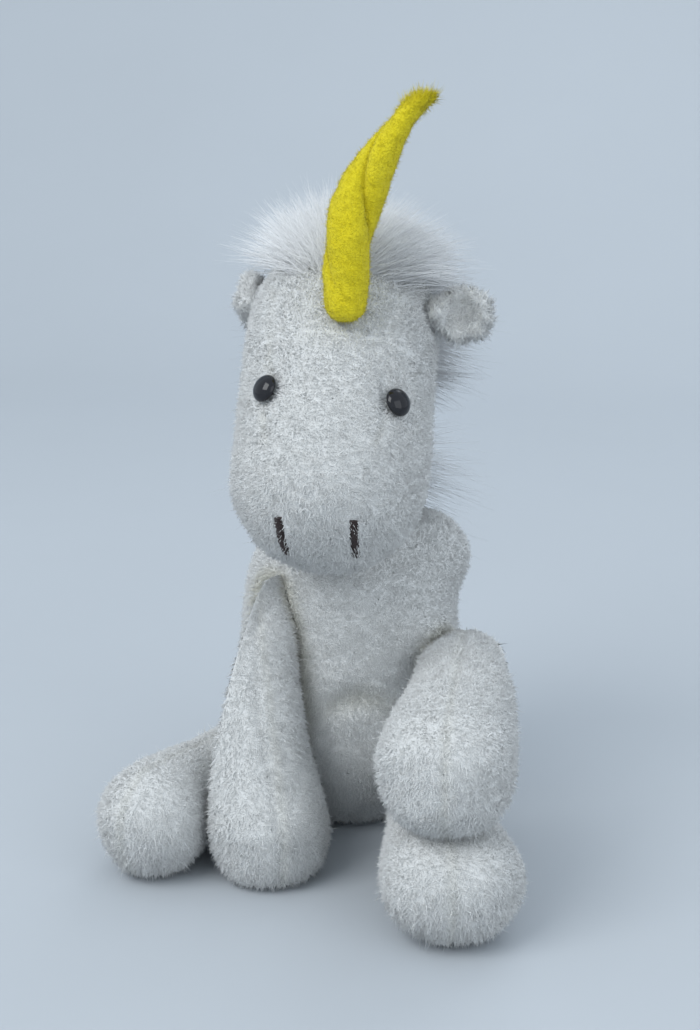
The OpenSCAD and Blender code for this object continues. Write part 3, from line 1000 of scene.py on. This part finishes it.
class UNICORN_OT_head(bpy.types.Operator):
    """Sews and stuffs the head, with sockets pressed in for the eyes"""

    bl_idname = "unicorn.head"
    bl_label = "Head"

    def execute(self, context):
        sizes = context.scene.plush_sizes
        eyes = [eye_spot(side) for side in SIDES]
        balls = [(CROWN + FACE * 0.0069, 0.0224)] + [(spot - way * 0.0045, 0.0035) for spot, way, _ in eyes]
        head = cloth_form("head_plush", ["head_cover", "head_stuffing"], sizes.cloth_cell, balls, 5)
        stuff(head, self.seams(points_of(head.data)), sizes.stuffing_push)
        refine(head)
        mesh = head.data
        place(mesh, fill_out(points_of(mesh)))
        sink(mesh, self.seams(points_of(mesh)), sizes.seam_depth, 0.0010)
        rumple(mesh, 0.011, 0.0006, 7)
        co = points_of(mesh)
        for spot, way, _ in eyes:
            gap = np.linalg.norm(co - spot, axis=1)
            co = co - way * (0.0011 * hill_of(gap, 0.0050))[:, None]
        place(mesh, relax(co, edges_of(mesh), 1, 0.4))
        still(mesh)
        co = points_of(mesh)
        cover = np.ones(len(co))
        for spot, way, _ in eyes:
            cover *= smooth_step(0.0024, 0.0031, np.linalg.norm(co - spot, axis=1))
        for side in SIDES:
            low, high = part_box(side + "_nostril")
            inside = np.ones(len(co), bool)
            for k, spare in ((0, 0.0001), (1, 0.003), (2, -0.0004)):
                inside &= (co[:, k] > low[k] - spare) & (co[:, k] < high[k] + spare)
            cover[inside & (co[:, 1] < -0.03)] = 0.4
        neck = np.linalg.norm(co - JOINTS["neck_turn"], axis=1) < 0.0165
        cover[neck] *= 0.25
        store(mesh, "cover", cover)
        # painted shade along the face seams, through the crease attribute
        crease = 0.25 * hill_of(self.seams(co), 0.0011)
        store(mesh, "crease", crease)
        reach = np.where(self.scalp(co) > 0.3, 1.5, 1.0)
        store(mesh, "reach", reach)
        comb = np.tile((0, 0, -0.15), (len(co), 1))
        for spot, way, _ in eyes:
            towards = spot - co
            gap = np.linalg.norm(towards, axis=1)
            comb = comb + towards / gap[:, None] * (1.3 * hill_of(gap - 0.0031, 0.0009))[:, None]
        store(mesh, "comb", comb)
        paint(head, cover_material())
        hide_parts("head_cover", "head_stuffing")
        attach(head, "head")
        face = face_place(co)[0] > 0.012
        for name, keep, seed in (("face_pile", face, 31), ("crown_pile", ~face, 32)):
            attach(pile(head, name, seed, keep=keep, share=1.25), "head")
        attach(add_locks(head, "head_locks", 33, 0.5), "head")
        return {"FINISHED"}

    def seams(self, co):
        """Distance from the two seams that run down the face through the eyes"""
        return np.minimum(from_line(co, HEAD_SEAM), from_line(co, HEAD_SEAM * MIRROR) * 1.8)

    def scalp(self, co):
        """1 where the forelock and mane are sewn on"""
        return forelock_roots(co) + mane_roots(co)


def forelock_roots(co):
    """1 where the forelock's hair grows"""
    angle = over_the_crown(co)
    aside = 1 - smooth_step(0.008, 0.016, np.abs(co[:, 0] - 0.002))
    return aside * smooth_step(46, 66, angle) * (1 - smooth_step(96, 104, angle)) * (co[:, 2] > 0.13)


def mane_roots(co):
    """1 where the mane's hair grows"""
    angle = over_the_crown(co)
    aside = 1 - smooth_step(0.015, 0.020, np.abs(co[:, 0] - 0.0025))
    return aside * smooth_step(96, 102, angle) * (1 - smooth_step(226, 240, angle))


class UNICORN_OT_hair(bpy.types.Operator):
    """Sews the forelock and the mane onto the head: long fine hair that fans out"""

    bl_idname = "unicorn.hair"
    bl_label = "Forelock and mane"

    def execute(self, context):
        sizes = context.scene.plush_sizes
        scalp = bpy.data.objects["head_plush"].data
        for name, roots, length, seed, nodes in (
                ("forelock_hair", forelock_roots, sizes.hair_length, 41, ("forelock",)),
                ("mane_hair", mane_roots, sizes.mane_length, 42, ("mane",))):
            cloth = scalp.copy()
            co = points_of(cloth)
            cover = roots(co)
            still(cloth)
            store(cloth, "cover", cover)
            side = co[:, :1] / 0.013
            if name == "forelock_hair":
                fan = np.where(side < 0, 0.75, 1.05) * side
                lean = np.hstack((fan, np.full_like(side, 0.15), np.full_like(side, 0.05)))
                comb = np.hstack((fan * 0.2, np.full_like(side, 0.10), -0.22 * np.abs(side)))
            else:
                lean = np.hstack((side * np.where(side < 0, 0.8, 1.5), np.full_like(side, -0.1),
                                  np.full_like(side, -0.05)))
                comb = np.hstack((side * 0.1, np.full_like(side, -0.05), np.full_like(side, -0.12)))
            store(cloth, "lean", lean)
            store(cloth, "comb", comb)
            area = self.area(cloth, cover)
            hair = grow(name, cloth, hair_material(), "long_pile",
                        **{"Per Square Metre": 7600 / area, "Length": length, "Length Spread": 0.42,
                           "Thickness": sizes.hair_thickness, "Clump Scale": 230.0, "Clump": 0.35,
                           "Scatter": 0.42, "Curl": 0.3, "Wave": 0.0007, "Segments": 4, "Tip": 0.1,
                           "Seed": seed})
            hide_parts(*nodes)
            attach(hair, "head")
        nape = bpy.data.objects["neck_plush"].data.copy()
        co = points_of(nape)
        still(nape)
        cover = smooth_step(0.003, 0.008, co[:, 1] - JOINTS["neck_turn"][1])
        store(nape, "cover", cover)
        side = co[:, :1] / 0.010
        level = np.ones_like(side)
        store(nape, "lean", np.hstack((1.1 * side + 0.45, 0.15 * level, -0.2 * level)))
        store(nape, "comb", np.hstack((0.2 * side, np.zeros_like(side), np.full_like(side, -0.2))))
        hair = grow("nape_hair", nape, hair_material(), "long_pile",
                    **{"Per Square Metre": 1800 / self.area(nape, cover), "Length": sizes.mane_length * 1.45,
                       "Length Spread": 0.45, "Thickness": sizes.hair_thickness, "Clump Scale": 230.0,
                       "Clump": 0.35, "Scatter": 0.42, "Curl": 0.3, "Wave": 0.0007, "Segments": 4, "Tip": 0.1,
                       "Seed": 43})
        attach(hair, "neck")
        return {"FINISHED"}

    def area(self, mesh, cover):
        """Area of the cloth, counting each face by how much of it is covered"""
        return sum(face.area * float(np.mean(cover[list(face.vertices)])) for face in mesh.polygons)


class UNICORN_OT_forelegs(bpy.types.Operator):
    """Sews and stuffs the two forelegs, whose paws are heavy with pellets"""

    bl_idname = "unicorn.forelegs"
    bl_label = "Forelegs"

    def execute(self, context):
        for side, seed in (("right", 51), ("left", 52)):
            make_limb("foreleg", side, seed)
        return {"FINISHED"}


class UNICORN_OT_hindlegs(bpy.types.Operator):
    """Sews and stuffs the two hindlegs, whose feet are heavy with pellets"""

    bl_idname = "unicorn.hindlegs"
    bl_label = "Hindlegs"

    def execute(self, context):
        for side, seed in (("right", 61), ("left", 62)):
            make_limb("hindleg", side, seed)
        return {"FINISHED"}


def limb_seams(limb, co):
    """Distance from a limb's two lengthwise seams, above and below its middle line"""
    across = np.cross(limb.way, (0, 0, 1))
    across /= np.linalg.norm(across)
    return np.abs((co - limb.root) @ across)


# How each leg's filling has settled: (share of its length, shift to the toy's left, widening) at stations
# from the root to the tip, both in shares of the tip's radius
SETTLED = {
    ("foreleg", "right"): ((-0.2, 0.10, 0.10), (0.15, -0.10, 0.20), (0.45, -0.26, 0.12), (0.8, -0.18, 0.09),
                           (1.2, -0.06, 0.13)),
    ("foreleg", "left"): ((-0.2, 0.05, 0.12), (0.15, 0.08, 0.20), (0.5, 0.06, 0.20), (0.8, -0.03, 0.18),
                          (1.2, -0.03, 0.16)),
    ("hindleg", "right"): ((-0.2, 0.0, 0.0), (0.5, 0.02, 0.0), (1.2, 0.06, -0.04)),
    ("hindleg", "left"): ((-0.2, 0.0, 0.0), (0.5, 0.04, 0.06), (0.8, 0.09, 0.17), (1.2, 0.08, 0.19)),
}


def settle(limb, co, stations):
    """Shifts and widens a leg sideways, by different amounts along its length"""
    shares, shifts, widths = np.array(stations).T
    t = ((co - limb.root) @ limb.way) / limb.reach
    ease = np.linspace(shares[0], shares[-1], 60)
    kernel = np.ones(11) / 11
    across = np.cross(limb.way, (0, 0, 1))
    across /= np.linalg.norm(across) * (1 if across[0] > 0 else -1)
    side = (co - limb.root) @ across
    curves = [np.convolve(np.pad(np.interp(ease, shares, v), 5, mode="edge"), kernel, "valid")
              for v in (shifts, widths)]
    shift, width = (np.interp(t, ease, curve) for curve in curves)
    return co + (shift * limb.tip_r + width * side)[:, None] * across


def make_limb(kind, side, seed):
    """Sews and stuffs one leg, presses it flat where it rests, and covers it with pile"""
    sizes = bpy.context.scene.plush_sizes
    limb = LIMBS[kind, side]
    pellets = f"{side}_{'paw' if kind == 'foreleg' else 'foot'}_pellets"
    nodes = [f"{side}_{kind}_cover", f"{side}_{kind}_stuffing", pellets]
    leg = cloth_form(f"{side}_{kind}_plush", nodes, sizes.cloth_cell, (), 4)
    stuff(leg, limb_seams(limb, points_of(leg.data)), sizes.stuffing_push)
    refine(leg)
    mesh = leg.data
    sink(mesh, limb_seams(limb, points_of(mesh)), sizes.seam_depth * 0.5, 0.0008)
    rumple(mesh, 0.010, 0.0007, seed)
    co = settle(limb, points_of(mesh), SETTLED[kind, side])
    other = LIMBS["hindleg" if kind == "foreleg" else "foreleg", side]
    gap = other.tip - limb.tip
    distance = np.linalg.norm(gap)
    if distance < limb.tip_r + other.tip_r + 0.004:
        share = smooth_step(0.45, 0.95, ((co - limb.root) @ limb.way) / limb.reach)
        share *= smooth_step(0.0, -0.009, co[:, 2] - limb.tip[2])
        if kind == "foreleg":
            co = co + share[:, None] * np.array((0, -0.0008, -0.0024))
        middle = limb.tip + gap / distance * (limb.tip_r + (distance - limb.tip_r - other.tip_r) / 2)
        slope = np.array((0, 0.45 * distance, 0)) * (1 if kind == "foreleg" else -1)
        co = press_flat(co, middle - np.array((0, 0, 0.0004)), gap + slope, 0.0022)
    co = set_down(co)
    place(mesh, co)
    still(mesh)
    co = points_of(mesh)
    clear = clear_of(co, bpy.data.objects["torso_plush"].data)
    close = np.exp(-(np.clip(clear - 0.0008, 0, None) / 0.0016) ** 2)
    store(mesh, "cover", smooth_step(0.0001, 0.0007, clear) * rested(co))
    store(mesh, "reach", 1 + 0.4 * close)
    # painted shade along the leg's seams and where it lies close to the torso, through the crease attribute
    store(mesh, "crease", 0.12 * np.exp(-(limb_seams(limb, co) / 0.0011) ** 2) + 0.45 * close)
    store(mesh, "comb", np.tile(limb.way * 0.08 + np.array((0, 0, -0.3)), (len(co), 1)))
    paint(leg, cover_material())
    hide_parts(nodes[0], nodes[1])
    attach(leg, f"{side}_{kind}")
    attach(pile(leg, f"{side}_{kind}_pile", seed, floor=FIBRE_FLOOR), f"{side}_{kind}")
    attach(add_locks(leg, f"{side}_{kind}_locks", seed, floor=FIBRE_FLOOR), f"{side}_{kind}")


class UNICORN_OT_ears(bpy.types.Operator):
    """Sews the two ears, curled flaps with a thick furry rim"""

    bl_idname = "unicorn.ears"
    bl_label = "Ears"

    def execute(self, context):
        for side, seed in (("right", 71), ("left", 72)):
            nodes = [f"{side}_ear_front", f"{side}_ear_back"]
            root = [(tuple(JOINTS[side + "_ear_fold"]), 0.0034)]
            ear = cloth_form(side + "_ear_plush", nodes, 0.0008, root, 4)
            stuff(ear, np.ones(len(ear.data.vertices)), 0.0006, 0.0002)
            refine(ear)
            rumple(ear.data, 0.005, 0.0009, seed)
            still(ear.data)
            paint(ear, cover_material())
            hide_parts(*nodes)
            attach(ear, side + "_ear")
            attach(pile(ear, side + "_ear_pile", seed, share=1.5, length=1.25), side + "_ear")
            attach(add_locks(ear, side + "_ear_locks", seed, 2.0), side + "_ear")
        return {"FINISHED"}


class UNICORN_OT_tail(bpy.types.Operator):
    """Makes the tail: a small stuffed form covered in long hair"""

    bl_idname = "unicorn.tail"
    bl_label = "Tail"

    def execute(self, context):
        sizes = context.scene.plush_sizes
        tail = cloth_form("tail_plush", ["tail"], 0.0012)
        place(tail.data, points_of(tail.data) - normals_of(tail.data) * 0.0018)
        refine(tail)
        root, far = JOINTS["tail_swing"], points_of(tail.data)
        way = far.mean(0) - root
        way /= np.linalg.norm(way)
        still(tail.data)
        store(tail.data, "lean", np.tile(way * 1.2, (len(far), 1)))
        store(tail.data, "comb", np.tile(way * 0.2 + np.array((0, 0, -0.2)), (len(far), 1)))
        hair = grow("tail_hair", tail.data.copy(), hair_material(), "long_pile", floor=0.0003,
                    **{"Per Square Metre": 4.5e6, "Length": 0.009, "Length Spread": 0.3,
                       "Thickness": sizes.hair_thickness, "Clump Scale": 260.0, "Clump": 0.3,
                       "Scatter": 0.3, "Curl": 0.25, "Wave": 0.0005, "Segments": 4, "Tip": 0.3, "Seed": 81})
        paint(tail, cover_material())
        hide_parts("tail")
        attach(tail, "tail")
        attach(hair, "tail")
        return {"FINISHED"}


def frame_around(way):
    """Two directions square to a given one"""
    way = Vector(way).normalized()
    aside = way.cross(Vector((0, 0, 1)))
    aside = aside.normalized() if aside.length > 1e-3 else Vector((1, 0, 0))
    return np.array(aside), np.array(way.cross(aside).normalized())


def turned_mesh(name, centre, way, outline, sides=48):
    """A closed turned form: an outline of (radius, height) pairs around a line, from pole to pole"""
    a, b = frame_around(way)
    way = np.array(way) / np.linalg.norm(way)
    points, faces = [centre + way * outline[0][1]], []
    for radius, height in outline[1:-1]:
        for i in range(sides):
            turn = 2 * math.pi * i / sides
            points.append(centre + way * height + radius * (math.cos(turn) * a + math.sin(turn) * b))
    points.append(centre + way * outline[-1][1])
    rings = len(outline) - 2
    for i in range(sides):
        j = (i + 1) % sides
        faces.append((0, 1 + j, 1 + i))
        faces.append((len(points) - 1, 1 + (rings - 1) * sides + i, 1 + (rings - 1) * sides + j))
        for k in range(rings - 1):
            low = 1 + k * sides
            faces.append((low + i, low + j, low + sides + j, low + sides + i))
    mesh = bpy.data.meshes.new(name)
    mesh.from_pydata([tuple(p) for p in points], [], faces)
    work = bmesh.new()
    work.from_mesh(mesh)
    bmesh.ops.recalc_face_normals(work, faces=work.faces)
    work.to_mesh(mesh)
    work.free()
    mesh.shade_smooth()
    return mesh


class UNICORN_OT_eyes(bpy.types.Operator):
    """Fits the glossy eyes: a domed bead with a rolled rim on a ribbed shank"""

    bl_idname = "unicorn.eyes"
    bl_label = "Eyes"

    def execute(self, context):
        for side in SIDES:
            spot, way, radius = eye_spot(side)
            radius *= 1.06
            dome = [(radius * math.cos(a), 0.00022 + 0.0021 * math.sin(a))
                    for a in np.linspace(0, math.pi / 2, 14)]
            shank = [(0, -0.0057), (0.0006, -0.0057), (0.0008, -0.0055)]
            for k in range(8):
                shank += [(0.0008, -0.0050 + k * 0.0006), (0.00066, -0.0047 + k * 0.0006)]
            rim = [(0.0008, -0.0001), (radius * 0.82, -0.0001), (radius * 0.96, 0.00002)]
            mesh = turned_mesh(side + "_eye_bead", spot, way, shank + rim + dome)
            eye = add_object(side + "_eye_bead", mesh)
            paint(eye, eye_material())
            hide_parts(side + "_eye")
            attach(eye, "head")
        return {"FINISHED"}


def stitch_tree():
    """A Geometry Nodes tree that lays a thread at each point, turned by the point's own angles"""
    if "threads" in bpy.data.node_groups:
        return bpy.data.node_groups["threads"]
    tree = bpy.data.node_groups.new("threads", "GeometryNodeTree")
    tree.interface.new_socket("Places", in_out="INPUT", socket_type="NodeSocketGeometry")
    for label, value in (("Length", 0.002), ("Width", 0.0005), ("Height", 0.0005)):
        socket = tree.interface.new_socket(label, in_out="INPUT", socket_type="NodeSocketFloat")
        socket.default_value = value
    tree.interface.new_socket("Material", in_out="INPUT", socket_type="NodeSocketMaterial")
    tree.interface.new_socket("Threads", in_out="OUTPUT", socket_type="NodeSocketGeometry")
    start, end = tree.nodes.new("NodeGroupInput"), tree.nodes.new("NodeGroupOutput")
    take = {s.name: s for s in start.outputs if s.name}
    ball = wire(tree, "GeometryNodeMeshUVSphere", Segments=12, Rings=9, Radius=0.5)
    size = wire(tree, "ShaderNodeCombineXYZ", X=take["Length"], Y=take["Width"], Z=take["Height"])
    spot = wire(tree, "GeometryNodeInputPosition").outputs[0]
    aside = calc(tree, "ABSOLUTE", wire(tree, "ShaderNodeSeparateXYZ", Vector=spot).outputs["X"])
    bow = calc(tree, "MULTIPLY", calc(tree, "POWER", aside, 2.0), -0.6)
    drop = wire(tree, "ShaderNodeCombineXYZ", Z=bow)
    bowed = wire(tree, "GeometryNodeSetPosition", Geometry=ball.outputs["Mesh"], Offset=drop.outputs[0])
    turn = wire(tree, "GeometryNodeInputNamedAttribute", {"data_type": "FLOAT_VECTOR"}, Name="turn")
    euler = wire(tree, "FunctionNodeEulerToRotation", Euler=out_of(turn, "Attribute"))
    many = wire(tree, "GeometryNodeInstanceOnPoints", Points=take["Places"], Instance=bowed.outputs[0],
                Rotation=euler.outputs[0], Scale=size.outputs[0])
    real = wire(tree, "GeometryNodeRealizeInstances", Geometry=many.outputs[0])
    smooth = wire(tree, "GeometryNodeSetShadeSmooth", Geometry=real.outputs[0])
    finish = wire(tree, "GeometryNodeSetMaterial", Geometry=smooth.outputs[0], Material=take["Material"])
    tree.links.new(finish.outputs[0], end.inputs["Threads"])
    return tree


def lay_threads(name, places, length, width, height, material):
    """Threads at places of (point, way along the thread, way out of the cloth), as a plain object"""
    mesh = bpy.data.meshes.new(name + "_places")
    mesh.from_pydata([tuple(p) for p, _, _ in places], [], [])
    turns = []
    for _, along, out in places:
        x = Vector(along).normalized()
        z = Vector(out)
        z = (z - x * z.dot(x)).normalized()
        turns.append(tuple(Matrix((x, z.cross(x), z)).transposed().to_euler("XYZ")))
    store(mesh, "turn", turns)
    values = {"Length": length, "Width": width, "Height": height}
    return run_tree(stitch_tree(), name, mesh, material, values)


def stitch_middles(node):
    """The middle of each stitch in a CAD node, in order"""
    mesh = merged_copy(node)
    co, label = points_of(mesh), islands(len(mesh.vertices), edges_of(mesh))
    bpy.data.meshes.remove(mesh)
    middles = np.array([co[label == n].mean(0) for n in np.unique(label)])
    return middles[np.argsort(-middles[:, 2])]


class UNICORN_OT_stitches(bpy.types.Operator):
    """Sews the satin-stitched nostrils and the stitches that close the back"""

    bl_idname = "unicorn.stitches"
    bl_label = "Nostrils and closing stitches"

    def execute(self, context):
        skin = skin_tree(bpy.data.objects["head_plush"].data)
        dark = thread_material("nostril thread", tuple(context.scene.plush_colours.nostril), 0.45)
        for side, slant in (("right", 0.10), ("left", -0.02)):
            row = stitch_middles(side + "_nostril")
            count = 26
            steps = np.linspace(0, len(row) - 1, count)
            places = []
            rng = np.random.default_rng(5 if side == "right" else 6)
            for k, step in enumerate(steps):
                low = int(min(step, len(row) - 2))
                point = row[low] + (row[low + 1] - row[low]) * (step - low)
                spot, facing, _, _ = skin.find_nearest(Vector(fill_out(point)[0]), 0.01)
                point, out = np.array(spot) + np.array(facing) * 0.0005, np.array(facing)
                out[0] *= 0.3
                out /= np.linalg.norm(out)
                along = np.array((1.0, 0, rng.uniform(-0.10, 0.10)))
                aside = rng.uniform(-1, 1) * 0.00014 + slant * 0.012 * (k / count - 0.5)
                point = point + np.array((aside, 0, 0))
                places.append((point - out * 0.0002, along, out))
            threads = lay_threads(
                side + "_nostril_threads", places, 0.0021, 0.00062, 0.0009, dark)
            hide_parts(side + "_nostril")
            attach(threads, "head")
        white = thread_material("white thread", (0.85, 0.85, 0.83), 0.6)
        middles = stitch_middles("closing_stitches")
        places = [(p, (1.0, 0, 0.25 if k % 2 else -0.25), (0, 1, 0)) for k, p in enumerate(middles)]
        closing = lay_threads("closing_threads", places, 0.0042, 0.0009, 0.0010, white)
        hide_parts("closing_stitches")
        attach(closing, "torso")
        return {"FINISHED"}


class UNICORN_OT_horn(bpy.types.Operator):
    """Rolls the felt horn: two lobes twisted together, fuzzy, with a frayed tip"""

    bl_idname = "unicorn.horn"
    bl_label = "Horn"

    def execute(self, context):
        base = JOINTS["horn_bend"]
        sides, rings = 72, 190
        length, lean, radius, twist = 0.046, 0.0175, 0.0047, math.radians(300)
        start = -radius / length
        points, faces = [], []
        for k in range(rings + 1):
            t = start + (1.012 - start) * k / rings
            body = max(t, 0.0)
            middle = base + np.array((lean * body ** 2.6, 0, length * t))
            belly = 1 + 0.17 * math.sin(math.pi * min(body / 0.95, 1)) ** 1.5
            size = radius * (1 - 0.4 * body * body) * belly
            if t < 0:
                size *= math.sqrt(max(1 - (t / start) ** 2, 0.0))
            if t > 0.97:
                size *= 1 - 0.35 * ((t - 0.97) / 0.042) ** 2
            for i in range(sides):
                a = 2 * math.pi * i / sides
                valley = abs(math.cos(a)) ** 0.8
                grip = smooth_step(-0.02, 0.30, t)
                groove = math.exp(-(math.cos(a) / 0.17) ** 2)
                lobe = 1.04 + 0.20 * grip * (2 * valley - 1) - 0.13 * grip * groove
                w = a - twist * t
                points.append(middle + np.array((size * lobe * math.cos(w), size * lobe * math.sin(w), 0)))
        for k in range(rings):
            for i in range(sides):
                j = (i + 1) % sides
                faces.append((k * sides + i, k * sides + j, (k + 1) * sides + j, (k + 1) * sides + i))
        faces.append(tuple(range(sides))[::-1])
        faces.append(tuple(range(rings * sides, (rings + 1) * sides)))
        mesh = bpy.data.meshes.new("horn_felt")
        mesh.from_pydata([tuple(p) for p in points], [], faces)
        co = points_of(mesh)
        place(mesh, co)
        out = normals_of(mesh)
        bumps = 0.00030 * uneven(co, 0.0032, 1) + 0.00012 * uneven(co, 0.0012, 2)
        place(mesh, co + out * bumps[:, None])
        mesh.shade_smooth()
        horn = add_object("horn_felt", mesh)
        still(mesh)
        tip = smooth_step(0.90, 1.0, (co[:, 2] - base[2]) / length)
        fuzz = mesh.copy()
        store(fuzz, "reach", 1.0 + 1.4 * tip)
        store(fuzz, "cover", 1.0 + 1.5 * tip)
        store(fuzz, "lean", np.outer(tip, (0.5, 0, 1.2)))
        paint(horn, felt_material())
        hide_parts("horn")
        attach(horn, "horn")
        hairs = grow("horn_fuzz", fuzz, felt_material(), "horn_felt",
                     **{"Per Square Metre": 5.5e6, "Length": 0.00065, "Length Spread": 0.5,
                        "Thickness": 0.00006,
                        "Clump Scale": 600.0, "Clump": 0.9, "Scatter": 0.8, "Curl": 0.8, "Wave": 0.0001,
                        "Segments": 2, "Tip": 0.0, "Seed": 91})
        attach(hairs, "horn")
        return {"FINISHED"}


class UNICORN_OT_fillings(bpy.types.Operator):
    """Finishes what lies inside: pellets, the pouch that holds them, and the eyes' washers"""

    bl_idname = "unicorn.fillings"
    bl_label = "Fillings and washers"

    def execute(self, context):
        shown = {
            "pellets": (pellet_material(), "pellet_fill",
                        ["seat_pellets"] + [f"{side}_{part}_pellets" for side in SIDES
                                            for part in ("paw", "foot")]),
            "pouch": (pouch_material(), "pouch_cloth", ["pellet_pouch"]),
            "washers": (moulded_material("washer plastic", (0.90, 0.90, 0.88), 0.35), "washer_plastic",
                        [side + "_eye_washer" for side in SIDES]),
        }
        for material, slot, nodes in shown.values():
            for node in nodes:
                paint(frame["nodes"][node], material)
        return {"FINISHED"}


class UNICORN_OT_stage(bpy.types.Operator):
    """Sets the floor, the soft light and the camera"""

    bl_idname = "unicorn.stage"
    bl_label = "Stage"

    def execute(self, context):
        scene = context.scene
        profile = [(-1.2, 0.0), (0.55, 0.0)]
        profile += [(0.55 + 0.5 * math.sin(a), 0.5 - 0.5 * math.cos(a))
                    for a in np.linspace(0.08, math.pi / 2, 20)]
        profile += [(1.05, 1.6)]
        points = [(x, y, z) for y, z in profile for x in (-1.8, 1.8)]
        faces = [(2 * k, 2 * k + 1, 2 * k + 3, 2 * k + 2) for k in range(len(profile) - 1)]
        mesh = bpy.data.meshes.new("floor")
        mesh.from_pydata(points, [], faces)
        mesh.shade_smooth()
        floor = add_object("floor", mesh)
        material, tree, shader, where = new_material("pale floor")
        cloud = wire(tree, "ShaderNodeTexNoise", Vector=where, Scale=6.0, Detail=4.0)
        colour = tuple(scene.plush_colours.floor)
        tone = wire(tree, "ShaderNodeMix", {"data_type": "RGBA"}, Factor=cloud.outputs[0], A=(*colour, 1),
                    B=(*(c * 0.95 for c in colour), 1))
        tree.links.new(out_of(tone, "Result"), shader.inputs["Base Color"])
        shader.inputs["Roughness"].default_value = 0.7
        mesh.materials.append(material)
        world = bpy.data.worlds.new("soft room")
        scene.world = world
        world.use_nodes = True
        world.node_tree.nodes["Background"].inputs["Color"].default_value = (0.80, 0.90, 1.0, 1)
        world.node_tree.nodes["Background"].inputs["Strength"].default_value = 0.85
        for name, spot, size, power, colour in (
                ("window", (-0.60, -0.75, 0.95), 0.8, 8.5, (0.97, 0.99, 1.0)),
                ("fill", (0.9, -0.8, 0.4), 1.0, 3.0, (0.93, 0.96, 1.0)),
                ("back", (0.3, 0.9, 0.9), 0.8, 3.5, (0.88, 0.94, 1.0))):
            light = bpy.data.lights.new(name, "AREA")
            light.energy = power
            light.size = size
            light.color = colour
            lamp = bpy.data.objects.new(name, light)
            lamp.location = spot
            towards = Vector((0, -0.02, 0.08)) - Vector(spot)
            lamp.rotation_euler = towards.to_track_quat("-Z", "Y").to_euler()
            scene.collection.objects.link(lamp)
        lens = bpy.data.cameras.new("camera")
        lens.lens = 58.72
        lens.sensor_width = 36
        lens.clip_start = 0.01
        camera = bpy.data.objects.new("camera", lens)
        camera.location = (0.0591, -0.4209, 0.191)
        camera.rotation_euler = (math.radians(90 - 14.8), 0, math.radians(8))
        scene.collection.objects.link(camera)
        scene.camera = camera
        scene.view_settings.view_transform = "Standard"
        return {"FINISHED"}


class UNICORN_PT_panel(bpy.types.Panel):
    """Lists the unicorn's making steps, sizes and colours"""

    bl_idname = "UNICORN_PT_panel"
    bl_label = "Plush Unicorn"
    bl_space_type = "VIEW_3D"
    bl_region_type = "UI"
    bl_category = "Plush Unicorn"

    def draw(self, context):
        layout = self.layout
        for group in (context.scene.plush_sizes, context.scene.plush_colours):
            for name in group.__annotations__:
                layout.prop(group, name)
        for step in STEPS:
            layout.operator(step.bl_idname)


STEPS = (
    UNICORN_OT_torso, UNICORN_OT_neck, UNICORN_OT_head, UNICORN_OT_hair, UNICORN_OT_forelegs,
    UNICORN_OT_hindlegs, UNICORN_OT_ears, UNICORN_OT_tail, UNICORN_OT_eyes, UNICORN_OT_stitches,
    UNICORN_OT_horn, UNICORN_OT_fillings, UNICORN_OT_stage,
)
CLASSES = (PlushSizes, PlushColours, *STEPS, UNICORN_PT_panel)


def register():
    """Registers the sizes, colours, steps and panel"""
    for item in CLASSES:
        bpy.utils.register_class(item)
    bpy.types.Scene.plush_sizes = PointerProperty(type=PlushSizes)
    bpy.types.Scene.plush_colours = PointerProperty(type=PlushColours)


def unregister():
    """Removes what register added"""
    del bpy.types.Scene.plush_colours
    del bpy.types.Scene.plush_sizes
    for item in reversed(CLASSES):
        bpy.utils.unregister_class(item)


def main():
    """Makes every piece in order"""
    register()
    for step in STEPS:
        group, name = step.bl_idname.split(".")
        getattr(getattr(bpy.ops, group), name)()


if __name__ == "__main__":
    main()
